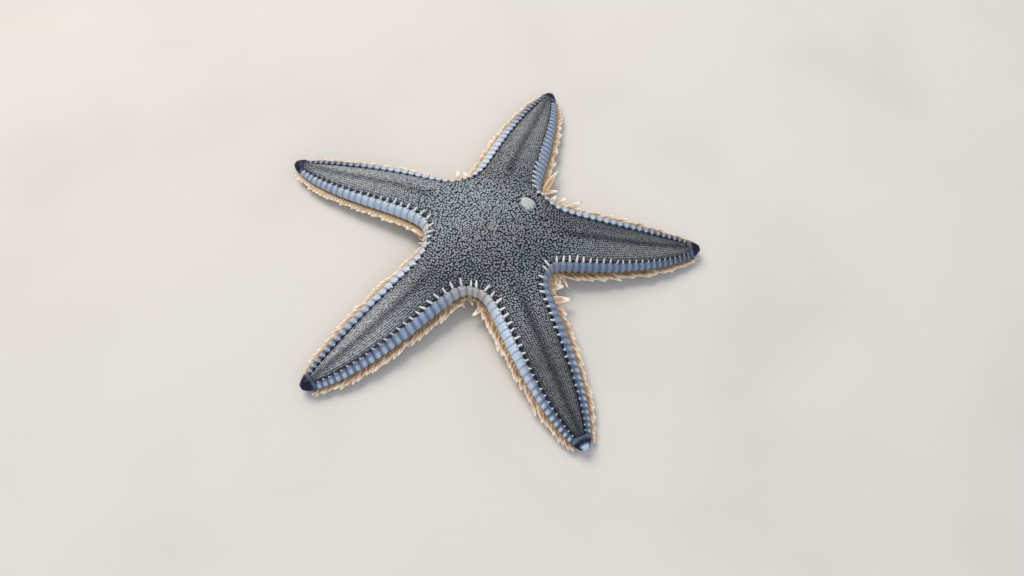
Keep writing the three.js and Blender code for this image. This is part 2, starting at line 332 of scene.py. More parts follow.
@dataclass(frozen=True)
class Arc:
    """Hollow between two arms: heading and distance of its inmost point, and its splayed spines.

    The bare reach is the distance along the margin, both ways, that has no fringe of its own.
    """

    heading: float
    reach: float
    bare: float
    spikes: tuple[Spike, ...]


@dataclass
class Stations:
    """Places along a row of border plates, as arrays."""

    point: Array
    outward: Array
    along: Array
    t: Array
    height: Array
    scale: Array
    distance: Array
    width: Array

    @property
    def brim(self) -> Array:
        """Height of the plates' inner upper edge."""
        return self.height * FORM.brim_share

    @property
    def ambitus(self) -> Array:
        """Height of the seam between the upper and the lower row."""
        return self.height * FORM.ambitus_share

    def at(self, outward: Array | float, height: Array | float) -> Array:
        """Points in space at a distance outward from the margin and a height."""
        plan = self.point + self.outward * np.asarray(outward)[..., None]
        return upright(plan, height)


class Margin:
    """Outer edge of the upper plates on one side of an arm, from the arc to the end plate."""

    SAMPLES = 200
    SHORT = 0.01
    SEARCH = (0.02, 0.6)
    HALVINGS = 40

    def __init__(self, arm: Arm, side: Side, arc: Arc) -> None:
        """Finds where the row starts and how its corner is rounded.

        Args:
            arm: The arm that the row runs along.
            side: The side of the arm.
            arc: The arc that the row starts in.
        """
        self.arm = arm
        self.side = side
        self.arc = arc
        self.out_of_arc = heading_vector(arc.heading)
        self.start = self._crossing()
        self.end = 1 - (FORM.tip_length + FORM.gap) / arm.length
        corner = self.side_point(self.start)
        self.rounding = arc.reach - float(np.linalg.norm(corner))
        onward = unit(self.side_point(self.start + self.SHORT) - corner)
        self.slope = float(onward @ self.out_of_arc)
        self.parameters = np.linspace(0, 1, self.SAMPLES + 1)
        steps = np.linalg.norm(np.diff(self.point(self.parameters), axis=0), axis=1)
        self.lengths = np.concatenate([[0], np.cumsum(steps)])
        self.length = float(self.lengths[-1])

    def _crossing(self) -> float:
        """Finds where the arm's side crosses the arc's middle line.

        Returns:
            The share of the arm's length.
        """
        across = left_of(self.out_of_arc)
        low, high = self.SEARCH
        starts_positive = self.side_point(low) @ across > 0
        for _ in range(self.HALVINGS):
            middle = (low + high) / 2
            if (self.side_point(middle) @ across > 0) == starts_positive:
                low = middle
            else:
                high = middle
        return (low + high) / 2

    def side_point(self, t: Array | float) -> Array:
        """Plan points of the arm's side before the corner is rounded.

        Args:
            t: Shares of the arm's length.

        Returns:
            The points.
        """
        t = np.asarray(t, float)
        outward = left_of(self.arm.tangent(t)) * self.side.value
        return self.arm.line(t) + outward * self.arm.half(t)[..., None]

    def point(self, u: Array) -> Array:
        """Plan points of the margin at its own parameter, 0 in the arc and 1 at the end plate.

        Args:
            u: The parameter.

        Returns:
            The points.
        """
        t = blend(self.start, self.end, u)
        run = (t - self.start) * self.arm.length * self.slope
        power = FORM.arc_roundness
        push = (self.rounding**power + np.abs(run) ** power) ** (1 / power) - run
        return self.side_point(t) + np.multiply.outer(push, self.out_of_arc)

    def stations(self, share: Array) -> Stations:
        """Places along the row.

        Args:
            share: Shares of the row's length.

        Returns:
            The places, with the sizes there.
        """
        u = np.interp(np.clip(share, 0, 1) * self.length, self.lengths, self.parameters)
        step = 0.5 / self.SAMPLES
        ahead = self.point(np.clip(u + step, 0, 1))
        behind = self.point(np.clip(u - step, 0, 1))
        along = unit(ahead - behind)
        t = blend(self.start, self.end, u)
        scale = self.arm.scale(t)
        return Stations(
            point=self.point(u),
            outward=left_of(along) * self.side.value,
            along=along,
            t=t,
            height=self.arm.height(t),
            scale=scale,
            distance=np.clip(share, 0, 1) * self.length,
            width=FORM.upper_plate_width * scale * self.narrowing(t),
        )

    def narrowing(self, t: Array) -> Array:
        """Share of their full width that the upper plates have, which is less in the arc.

        Args:
            t: Shares of the arm's length.

        Returns:
            The shares of the width.
        """
        run = (t - self.start) * self.arm.length
        row = self.arm.narrow_right if self.side is Side.RIGHT else 1.0
        return np.minimum(1 - FORM.arc_narrowing * bell(run, FORM.arc_narrowing_reach), row)

    def plate_share(self, count: Array) -> Array:
        """Share of the row's length at plate boundaries, which crowd in the arc and at the tip.

        Args:
            count: Numbers of plates from the arc.

        Returns:
            The shares of the length.
        """

        def crowded(share: Array) -> Array:
            """The place of a boundary before the row is drawn out to its full length."""
            near_arc = 1 - np.exp(-share / FORM.arc_crowding_share)
            arc = FORM.arc_crowding * FORM.arc_crowding_share * near_arc
            return share - arc - FORM.tip_crowding / 4 * share**4

        return crowded(np.asarray(count, float) / FORM.plates_per_row) / crowded(np.array(1.0))


@dataclass(frozen=True)
class RowStyle:
    """Looks of one row of border plates with its spines and fringe.

    Spine is the length of the upper spines and swing how far they lean to the arm's tip. The
    plates' paleness goes from pale to pale end along the arm, dark is how navy they turn at the
    tip, and studs how strongly each ends there in painted shade on its inner half and a painted
    highlight on its outer half. Warm is how cream they are in the arc, spots how dark the pits
    between the spines' feet are, partly navy and partly painted shadow, and contact how dark the
    field is beside the row, partly navy and partly painted contact shadow. Tawny and dusk are how
    orange brown and how shaded the fringe is, splay the angle of its blades to the arm and reach
    their length. Bands is how strongly the plates stand out from each other.
    """

    spine: float
    pale: float
    pale_end: float
    dark: float = 0.0
    studs: float = 0.0
    warm: float = 0.3
    spots: float = 1.0
    contact: float = 0.3
    tawny: float = 0.4
    dusk: float = 0.0
    swing: float = 0.2
    splay: float = 25.0
    reach: float = 1.0
    bands: float = 1.0


class Star:
    """The whole animal's plan: arms, arcs and margins, round the disc's centre.

    Each arc lies on the right of the arm with the same number.
    """

    OUTLINE_STEPS = 60
    RIM_STEPS = 90
    ARMS = (
        Arm("a", 76.8, 31.55, 5.45, 2.4, (4.6, -3.3), 0.75, 0.0, cap=1.65, tone=0.6),
        Arm(
            "b", 5.5, 33.35, 5.6, 2.2, (1.5, -6.5), 1.0, -0.1, narrow_right=0.66, cap=1.65, tone=1.18,
            left_dusk=0.35,
        ),
        Arm("c", -61.1, 35.3, 4.85, 3.2, (0.5, -1.2), 0.9, -0.4, 1.0, tone=1.4),
        Arm("d", -131.8, 35.8, 4.55, 3.2, (-2.5, 6.3), 0.8, 0.76, cap=1.75, tone=0.93),
        Arm("e", 162.5, 34.8, 4.35, 3.2, (-13.6, 15.2), 0.7, 0.0, cap=1.9, tone=0.9),
    )
    ARCS = (
        Arc(48.5, 11.4, 3.3, (
            Spike((7.7, 10.2), 67, 5.1, 0.52, 0.6),
            Spike((7.7, 9.7), 20, 2.6, 0.55, 0.9),
            Spike((8.7, 7.9), 58, 2.1, 0.48, 0.9),
            Spike((10.0, 7.4), 58, 2.6, 0.5, 0.9),
            Spike((11.5, 6.9), 43, 3.6, 0.6, 0.9),
        )),
        Arc(-28.3, 11.25, 3.1, (
            Spike((9.8, -5.9), -40, 1.1, 0.42),
            Spike((10.4, -5.5), -58, 1.2, 0.44),
            Spike((11.1, -5.2), -70, 1.3, 0.44),
            Spike((11.8, -5.3), -56, 1.9, 0.24, 0.8),
            Spike((10.0, -7.0), 15, 2.4, 0.7, 1.0),
            Spike((10.9, -9.0), 11, 2.7, 0.66, 1.0),
            Spike((10.3, -8.1), 35, 0.9, 0.25),
        )),
        Arc(-98.1, 10.5, 1.6, (
            Spike((-1.7, -10.7), -57, 1.0, 0.3),
            Spike((-2.9, -11.4), -48, 0.8, 0.28),
            Spike((-0.2, -12.0), -130, 1.6, 0.46, 0.9),
            Spike((-3.4, -11.5), -155, 1.7, 0.5, 0.7),
            Spike((-4.5, -12.2), -148, 1.7, 0.5, 0.4),
        )),
        Arc(-169.5, 10.3, 1.2, (Spike((-10.0, -2.0), 176, 1.1, 0.28),)),
        Arc(121.5, 11.1, 2.6, (
            Spike((-6.2, 9.7), 102, 2.9, 0.5, 0.9),
            Spike((-4.3, 10.2), 129, 2.6, 0.5, 0.9),
            Spike((-3.9, 11.0), 103, 1.8, 0.4, 0.6),
        )),
    )
    STYLES = {
        ("a", Side.LEFT): RowStyle(0.12, 0.8, 0.04, dark=1.0, warm=0.8, contact=0.5, reach=0.85),
        ("a", Side.RIGHT): RowStyle(0.5, 0.2, 0.14, warm=0.1, spots=0.3, contact=0.2, tawny=0.5, splay=32),
        ("b", Side.LEFT): RowStyle(0.12, 0.5, 0.0, dark=1.0, warm=0.8, contact=1.0, tawny=0.7),
        ("b", Side.RIGHT): RowStyle(
            0.75, 0.06, 0.0, dark=1.0, studs=0.2, warm=0.2, spots=0.5, contact=0.9, tawny=0.8, dusk=0.8,
            splay=18, reach=0.88, bands=0.5,
        ),
        ("c", Side.LEFT): RowStyle(
            0.85, 0.1, 0.1, dark=0.3, studs=0.8, warm=0.1, spots=0.8, contact=0.9, tawny=0.7, bands=0.6
        ),
        ("c", Side.RIGHT): RowStyle(
            0.92, 1.0, 0.35, dark=0.8, studs=0.9, warm=1.0, spots=0.8, contact=0.7, tawny=0.8, splay=21
        ),
        ("d", Side.LEFT): RowStyle(
            0.88, 0.24, 0.16, studs=0.8, warm=0.9, spots=0.7, contact=0.9, tawny=0.7, dusk=0.1, swing=0.8,
            splay=22,
        ),
        ("d", Side.RIGHT): RowStyle(0.5, 0.75, 0.05, dark=0.35, studs=0.45, warm=0.6, swing=-0.2),
        ("e", Side.LEFT): RowStyle(0.8, 0.8, 0.35, warm=0.6, contact=0.2, tawny=0.2, swing=-0.4, splay=38),
        ("e", Side.RIGHT): RowStyle(0.12, 0.7, 0.0, dark=0.95, studs=0.3, warm=0.8, reach=0.75),
    }

    def __init__(self) -> None:
        """Reads the disc's centre from the frame and works out the margins."""
        low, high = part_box("mouth_frame")
        middle = (low + high) / (2 * MM)
        self.centre = np.array([middle.x, middle.y, 0.0])
        self.margins = {}
        for i, arm in enumerate(self.ARMS):
            self.margins[arm.name, Side.LEFT] = Margin(arm, Side.LEFT, self.ARCS[i - 1])
            self.margins[arm.name, Side.RIGHT] = Margin(arm, Side.RIGHT, self.ARCS[i])

    def rows(self, arm: Arm) -> list[tuple[Margin, RowStyle]]:
        """The two rows of an arm with their looks, left first."""
        keys = [(arm.name, side) for side in Side]
        return [(self.margins[key], self.STYLES[key]) for key in keys]

    def placed(self, points: Array) -> Array:
        """Points round the disc's centre in millimetres, in the frame's metres."""
        return (points + self.centre) * MM

    def outline(self, edge: Callable[[Stations], Array]) -> Array:
        """Closed plan outline that follows all rows of border plates.

        Args:
            edge: Gives the distance outward from the margin at a row's places.

        Returns:
            The outline's points in order.
        """
        loops = []
        share = np.linspace(0, 1, self.OUTLINE_STEPS)
        for arm in self.ARMS:
            for side in Side:
                at = self.margins[arm.name, side].stations(share)
                points = at.at(edge(at), 0)[:, :2]
                loops.append(points if side is Side.LEFT else points[::-1])
        return np.concatenate(loops)

    def nearest_value(self, points: Array, plan: Array, values: Array) -> tuple[Array, Array]:
        """Distance from plan points to the nearest of some places, and the value there.

        Args:
            points: The plan points.
            plan: The places.
            values: A number for each place.

        Returns:
            A distance and a number for each point.
        """
        tree = plan_tree(plan)
        found = [tree.find((x, y, 0)) for x, y in points.tolist()]
        nearest = np.array([number for _, number, _ in found])
        return np.array([distance for _, _, distance in found]), values[nearest]

    def rim_shade(self, points: Array) -> Array:
        """How dark the field is at plan points beside the border plates: painted contact shadow, partly navy.

        Args:
            points: Plan points.

        Returns:
            Shades from 0 to 1.
        """
        edge, shade = [], []
        share = np.linspace(0, 1, self.RIM_STEPS)
        for key, margin in self.margins.items():
            at = margin.stations(share)
            edge.append(at.at(-at.width, 0)[:, :2])
            contact = self.STYLES[key].contact
            at_tip = 0.7 * contact * ease(0.45, 0.85, share)
            shade.append(np.maximum(contact * (1 - 0.5 * share), at_tip))
        gap, level = self.nearest_value(points, np.concatenate(edge), np.concatenate(shade))
        return level * ease(FORM.contact_width, FORM.contact_core, gap)

    def pit_shade(self, points: Array) -> Array:
        """How deep plan points lie in the pits between the upper spines' feet, darkened partly by painted
        shadow.

        Args:
            points: Plan points.

        Returns:
            Shades from 0 to 1.
        """
        pits, levels = [], []
        for key, margin in self.margins.items():
            at = margin.stations(margin.plate_share(np.arange(1, FORM.plates_per_row)))
            pits.append(at.at(-at.width - FORM.pit_inset * at.scale, 0)[:, :2])
            levels.append(self.STYLES[key].spots * ease(0.0, 0.1, at.distance / margin.length))
        away, level = self.nearest_value(points, np.concatenate(pits), np.concatenate(levels))
        return level * ease(FORM.pit_radius, 0.4 * FORM.pit_radius, away)

    def arm_coordinates(self, points: Array) -> tuple[Array, Array, Array]:
        """Which arm plan points belong to, and where on it they lie.

        Args:
            points: Plan points, one row each.

        Returns:
            The arm's number, the share of its length, and the distance to the left of its line.
        """
        found = [arm.nearest(points) for arm in self.ARMS]
        t = np.stack([each[0] for each in found])
        aside = np.stack([each[1] for each in found])
        lines = np.stack([arm.line(each[0]) for arm, each in zip(self.ARMS, found)])
        arm = np.argmin(np.linalg.norm(points - lines, axis=-1), axis=0)
        index = np.arange(len(points))
        return arm, t[arm, index], aside[arm, index]


@dataclass
class PigmentAndShade:
    """Colour at plan points: paleness (about 1 on the disc), and how brown and how navy it is.

    Paleness and navy hold painted light and shade as well as the animal's own colour. Calm is
    how little the skin between the knobs stands out from their crowns, partly painted light: it
    is higher on the lit side.
    """

    pale: Array
    brown: Array
    navy: Array
    calm: Array

    def part(self, chosen: Array | slice) -> dict[str, Array]:
        """The values of some of the points, by name."""
        return {name: value[chosen] for name, value in vars(self).items()}


@dataclass
class MarkingsAndShade:
    """Colour, light and shade painted on the upper side, the same on the skin and on the knobs that stand on
    it.

    A dark stripe runs along each arm's ridge between two brownish flanks. Beside the border plates
    the field is darker, navy or near the arcs brown, partly as colour and partly as painted contact
    shadow, and the pits between the spines' feet hold painted shadow. The disc is paler on the side
    of arm e and darker towards arm b, partly as colour and partly as painted light from the key
    light's side and painted shade away from it. Spans are shares of an arm's length between which
    a marking sets in.
    """

    star: Star
    # Painted light from the key light's side: its heading, reach, gain both ways and extra gain on the lit
    # side.
    painted_light_heading: float = 130.0
    painted_light_reach: float = 5.0
    painted_light_gain: float = 0.22
    painted_light_extra: float = 0.14
    arm_span: tuple[float, float] = (0.15, 0.36)
    outer_span: tuple[float, float] = (0.3, 0.65)
    outer_calm: float = 0.85
    stripe_width: float = 0.55
    stripe_span: tuple[float, float] = (0.2, 0.42)
    stripe_depth: float = 0.68
    stripe_navy: float = 0.4
    flank_place: float = 0.5
    flank_width: float = 0.28
    flank_span: tuple[float, float] = (0.35, 0.7)
    flank_gain: float = 0.2
    flank_brown: float = 0.5
    # How the painted contact shadow and the pits' painted shadow darken the field and tint it brown or navy.
    edge_depth: float = 0.5
    edge_brown: float = 0.8
    edge_navy: float = 0.9
    pit_depth: float = 0.7
    vent_place: tuple[float, float] = (-0.4, 0.0)
    vent_radius: float = 0.45
    vent_depth: float = 0.4
    vent_brown: float = 0.7

    def at(self, points: Array) -> PigmentAndShade:
        """Colour with painted light and shade at plan points round the disc's centre.

        Args:
            points: Plan points.

        Returns:
            The colours with their painted light and shade.
        """
        arm, t, aside = self.star.arm_coordinates(points)
        arms = self.star.ARMS
        traits = [(each.ridge, each.light_tip, each.narrow_right, each.tone, each.left_dusk) for each in arms]
        ridge, light_tip, narrow, tone, left_dusk = np.array(traits)[arm].T
        outer = np.choose(arm, [each.half(t) for each in arms])
        size = np.choose(arm, [each.scale(t) for each in arms])
        plates = FORM.upper_plate_width * size * np.where(aside < 0, narrow, 1.0)
        inner = np.maximum(outer - plates, 0.4)
        across = np.abs(aside) / inner
        stripe = bell(aside, self.stripe_width * (1.3 - 0.5 * t)) * ease(*self.stripe_span, t) * ridge
        flank = bell(across - self.flank_place, self.flank_width) * ease(*self.flank_span, t)
        # Painted contact shadow beside the border plates and painted shadow in the pits, partly navy colour
        # too.
        edge = self.star.rim_shade(points)
        pit = self.star.pit_shade(points)
        # Painted light: paler towards the key light's side, darker away from it.
        slope = np.tanh(points @ heading_vector(self.painted_light_heading) / self.painted_light_reach)
        on_arm, far_out = ease(*self.arm_span, t), ease(*self.outer_span, t)
        dusk = left_dusk * ease(0.0, 0.6, aside / inner) * on_arm
        level = self.painted_light_gain * slope + self.painted_light_extra * np.maximum(slope, 0)
        vent = bell(np.linalg.norm(points - np.array(self.vent_place), axis=1), self.vent_radius)
        pale = (1 + level + light_tip * far_out) * blend(1, tone, on_arm) * (1 - dusk)
        for depth, marking in (
            (self.vent_depth, vent),
            (self.stripe_depth, stripe),
            (-self.flank_gain, flank),
            (self.edge_depth, edge),
            (self.pit_depth, pit),
        ):
            pale = pale * (1 - depth * marking)
        # Near the arcs the painted contact shadow is brown, further along the arms navy.
        near_arc = edge * (1 - ease(0.3, 0.6, t))
        brown = self.flank_brown * flank * (1 - dusk) + self.edge_brown * near_arc + self.vent_brown * vent
        # A little navy away from the key light is painted shade, and the calm is higher on the lit side as
        # painted light.
        navy = self.edge_navy * (edge - near_arc) + self.stripe_navy * stripe + 0.25 * (1 - slope) / 2
        calm = 0.5 * slope + self.outer_calm * far_out
        brown, navy, calm = (np.clip(each, 0, 1) for each in (brown, navy + pit + dusk, calm))
        return PigmentAndShade(pale, brown * (1 - edge + near_arc) * (1 - pit), navy, calm)


# ---------------- meshes


@dataclass
class Shape:
    """A small closed shape as arrays, ready to be copied many times.

    Points are one row each, corners index them face by face, and counts holds each face's
    number of corners. Values are named numbers for the points, and patch is the corners'
    place in a flat layout from -1 to 1 in which no two faces overlap.
    """

    points: Array
    corners: Array
    counts: Array
    values: dict[str, Array]
    patch: Array

    @classmethod
    def from_bmesh(
        cls, bm: bmesh.types.BMesh, layout: Callable[[Vector, bool], Array] = lambda point, cap: point.xy
    ) -> "Shape":
        """Takes a shape out of a bmesh and frees it.

        Args:
            bm: The finished bmesh.
            layout: Gives a corner's place in the layout from its point and whether its face
                is the cap on the floor of the shape. Without one the layout is the plan.

        Returns:
            The shape.
        """
        bmesh.ops.recalc_face_normals(bm, faces=bm.faces)
        bm.verts.index_update()
        lowest = min(vert.co.z for vert in bm.verts)
        points = np.array([vert.co for vert in bm.verts])
        corners, counts, patch = [], [], []
        for face in bm.faces:
            cap = all(abs(vert.co.z - lowest) < 1e-5 for vert in face.verts)
            corners.extend(vert.index for vert in face.verts)
            counts.append(len(face.verts))
            patch.extend(layout(vert.co, cap) for vert in face.verts)
        bm.free()
        rise = (points[:, 2] - points[:, 2].min()) / np.ptp(points[:, 2])
        return cls(points, np.array(corners), np.array(counts), {"rise": rise}, np.array(patch))

    def copies(self, origins: Array, axes: Array, sizes: Array) -> Array:
        """Points of many turned and scaled copies.

        Args:
            origins: Where each copy's own origin goes.
            axes: Each copy's axes, as axes_along gives them.
            sizes: Each copy's size along its own axes.

        Returns:
            The points, with the copy first.
        """
        local = self.points[None] * sizes[:, None, :]
        return origins[:, None, :] + np.einsum("nvk,nkd->nvd", local, axes)


def turned(
    profile: Sequence[tuple[float, float]], segments: int, lobes: int = 0, depth: float = 0.0
) -> Shape:
    """Closed shape of revolution about +Z, which stands on its foot.

    Args:
        profile: Radius and height from the foot's rim to the top, which ends on the axis.
        segments: Steps round the axis.
        lobes: Waves round the rim, none if 0.
        depth: Share of the radius that the waves take away where the radius is widest.

    Returns:
        The shape.
    """
    bm = bmesh.new()
    verts = [bm.verts.new((radius, 0, height)) for radius, height in profile]
    edges = [bm.edges.new(pair) for pair in zip(verts, verts[1:])]
    turn = {"cent": (0, 0, 0), "axis": (0, 0, 1), "angle": math.tau, "steps": segments}
    bmesh.ops.spin(bm, geom=verts + edges, use_merge=True, use_duplicate=False, **turn)
    bmesh.ops.remove_doubles(bm, verts=bm.verts, dist=1e-5)
    bmesh.ops.holes_fill(bm, edges=[edge for edge in bm.edges if edge.is_boundary], sides=0)
    heights = np.array([height for _, height in profile])
    steps = np.hypot(*np.diff(np.array(profile), axis=0).T)
    path = 1 - np.concatenate([[0], np.cumsum(steps)]) / steps.sum()
    widest = max(radius for radius, _ in profile)
    levels = {round(height, 4): share for height, share in zip(heights, path)}

    def layout(point: Vector, cap: bool) -> Array:
        """Unrolls the side round the top, and lays the foot's cap beside it."""
        angle = math.atan2(point.y, point.x)
        around = np.array([math.cos(angle), math.sin(angle)])
        if cap:
            return np.array([0.8, 0.8]) + 0.12 * around
        return 0.85 * levels[round(point.z, 4)] * around

    shape = Shape.from_bmesh(bm, layout)
    if lobes:
        x, y, _ = shape.points.T
        wave = 0.5 - 0.5 * np.cos(lobes * np.arctan2(y, x))
        shape.points[:, :2] *= (1 - depth * wave * ease(0.5, 1, np.hypot(x, y) / widest))[:, None]
    return shape


def cushion(cuts: int, squareness: float, waist: float = 0.0) -> Shape:
    """Rounded block from -1 to 1 on each axis.

    Args:
        cuts: Cuts across each side.
        squareness: 2 gives a ball, and more gives a block with tighter edges.
        waist: Share by which its ends along X narrow. At 0 the ends are rounded like the rest.

    Returns:
        The shape.
    """
    bm = bmesh.new()
    bmesh.ops.create_cube(bm, size=2)
    bmesh.ops.subdivide_edges(bm, edges=bm.edges, cuts=cuts, use_grid_fill=True)
    for vert in bm.verts:
        x, y, z = vert.co
        if waist:
            norm = max((abs(y) ** squareness + abs(z) ** squareness) ** (1 / squareness), 1e-6)
            square = max(abs(y), abs(z))
            narrow = (square / norm if square > 1e-6 else 1.0) * (1 - waist * abs(x) ** 5)
            vert.co = (x, y * narrow, z * narrow)
        else:
            power_sum = abs(x) ** squareness + abs(y) ** squareness + abs(z) ** squareness
            vert.co /= power_sum ** (1 / squareness)
    return Shape.from_bmesh(bm)


class Joined:
    """Copies of shapes gathered into one mesh piece."""

    PATCH = 0.003

    def __init__(self, star: Star) -> None:
        """Starts empty.

        Args:
            star: The plan whose centre the points are measured from.
        """
        self.star = star
        self.points: list[Array] = []
        self.corners: list[Array] = []
        self.counts: list[Array] = []
        self.values: dict[str, list[Array]] = {}
        self.patches: list[Array] = []
        self.total = 0

    def add(
        self, shape: Shape, points: Array, values: dict[str, ArrayLike], roots: Array | None = None
    ) -> None:
        """Adds copies of a shape.

        Args:
            shape: The shape that is copied.
            points: The copies' points, with the copy first.
            values: Named numbers, one for each copy or one for each point of each copy. The
                shape's own values are added.
            roots: Each copy's place from 0 to 1 on the unwrap of what it stands on, if the
                piece is baked through patches.
        """
        copies, size = points.shape[:2]
        self.points.append(points.reshape(-1, 3))
        offsets = self.total + size * np.arange(copies)
        self.corners.append((shape.corners[None] + offsets[:, None]).ravel())
        self.counts.append(np.tile(shape.counts, copies))
        for name, given in {**shape.values, **values}.items():
            each = np.asarray(given, float)
            each = each[:, None] if name in values and each.ndim == 1 else each
            self.values.setdefault(name, []).append(np.broadcast_to(each, (copies, size)).ravel())
        if roots is not None:
            spots = roots[:, None, :] + shape.patch[None] * self.PATCH / 2
            self.patches.append(spots.reshape(-1, 2))
        self.total += copies * size

    def piece(self, name: str, material: Material, slot: str, replaces: Sequence[str] = ()) -> None:
        """Writes the mesh and makes it a piece of the model.

        Args:
            name: The piece's name.
            material: Its finish.
            slot: The record's material slot. Not used.
            replaces: Nodes of the frame that it stands for.
        """
        mesh = bpy.data.meshes.new(name)
        points = self.star.placed(np.concatenate(self.points))
        corners = np.concatenate(self.corners)
        counts = np.concatenate(self.counts)
        mesh.vertices.add(len(points))
        mesh.vertices.foreach_set("co", points.astype(np.float32).ravel())
        mesh.loops.add(len(corners))
        mesh.loops.foreach_set("vertex_index", corners.astype(np.int32))
        mesh.polygons.add(len(counts))
        mesh.polygons.foreach_set("loop_start", (np.cumsum(counts) - counts).astype(np.int32))
        mesh.update(calc_edges=True)
        if self.patches:
            layer = mesh.uv_layers.new(name="OFBake")
            layer.uv.foreach_set("vector", np.concatenate(self.patches).astype(np.float32).ravel())
        values = {key: np.concatenate(parts) for key, parts in self.values.items()}
        finish_piece(mesh, values, material, replaces)


def finish_piece(
    mesh: bpy.types.Mesh, values: dict[str, Array], material: Material, replaces: Sequence[str]
) -> None:
    """Makes a smooth-shaded piece of a mesh and rides it on the body.

    Args:
        mesh: The finished mesh, in the frame's metres, under the piece's name.
        values: Named numbers for the mesh's points, which its finish reads.
        material: Its finish.
        replaces: Nodes of the frame that it stands for.
    """
    for name, each in values.items():
        attribute = mesh.attributes.new(name, "FLOAT", "POINT")
        attribute.data.foreach_set("value", each.astype(np.float32))
    mesh.shade_smooth()
    mesh.materials.append(material)
    piece = bpy.data.objects.new(mesh.name, mesh)
    bpy.context.scene.collection.objects.link(piece)
    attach(piece, BODY)
    if replaces:
        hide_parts(*replaces)
    log.info("%s: %d faces", piece.name, len(mesh.polygons))


# ---------------- finishes


def linear(code: str) -> tuple[float, float, float, float]:
    """Linear colour of an sRGB hex code such as #8090a0.

    Args:
        code: The code.

    Returns:
        Red, green, blue and an opacity of 1.
    """
    channels = [int(code[i : i + 2], 16) / 255 for i in (1, 3, 5)]
    straight = [c / 12.92 if c <= 0.04045 else ((c + 0.055) / 1.055) ** 2.4 for c in channels]
    return (*straight, 1.0)


def add_node(
    tree: Tree, kind: str, output: str | int, inputs: dict[str | int, object], **settings: object
) -> Socket:
    """Adds a node, sets it and links it.

    Args:
        tree: The material's node tree.
        kind: The node's type without its ShaderNode prefix.
        output: The output that is wanted, by name or number.
        inputs: For each input, by name or number, a socket to link from, a hex colour or a number.
        settings: The node's own properties.

    Returns:
        The output.
    """
    node = tree.nodes.new("ShaderNode" + kind)
    for name, value in settings.items():
        setattr(node, name, value)
    for name, value in inputs.items():
        if isinstance(value, Socket):
            tree.links.new(value, node.inputs[name])
        else:
            node.inputs[name].default_value = linear(value) if isinstance(value, str) else value
    return node.outputs[output]


class Pattern(Enum):
    """A pattern in the material: its node's type and output."""

    BLOTCHES = ("TexNoise", "Fac")
    GRANULES = ("TexVoronoi", "Distance")

    def drawn(self, tree: Tree, size: float) -> Socket:
        """The pattern on the object's own coordinates, with features of a size in millimetres.

        Args:
            tree: The material's node tree.
            size: The size.

        Returns:
            The pattern's output.
        """
        kind, output = self.value
        place = add_node(tree, "TexCoord", "Object", {})
        return add_node(tree, kind, output, {"Vector": place, "Scale": 1 / (size * MM)})


# A part of a share: the name of a number that the mesh carries, the size of soft blotches in
# millimetres or a socket, and perhaps the levels between which it rises smoothly from 0 to 1, or
# from the next two numbers' first to their second.
Part = tuple[str | float | Socket, *tuple[float, ...]]
# A coat of colour: a hex code or a socket, how strongly it covers, and the parts of its share.
Coat = tuple[str | Socket, float, *tuple[Part, ...]]


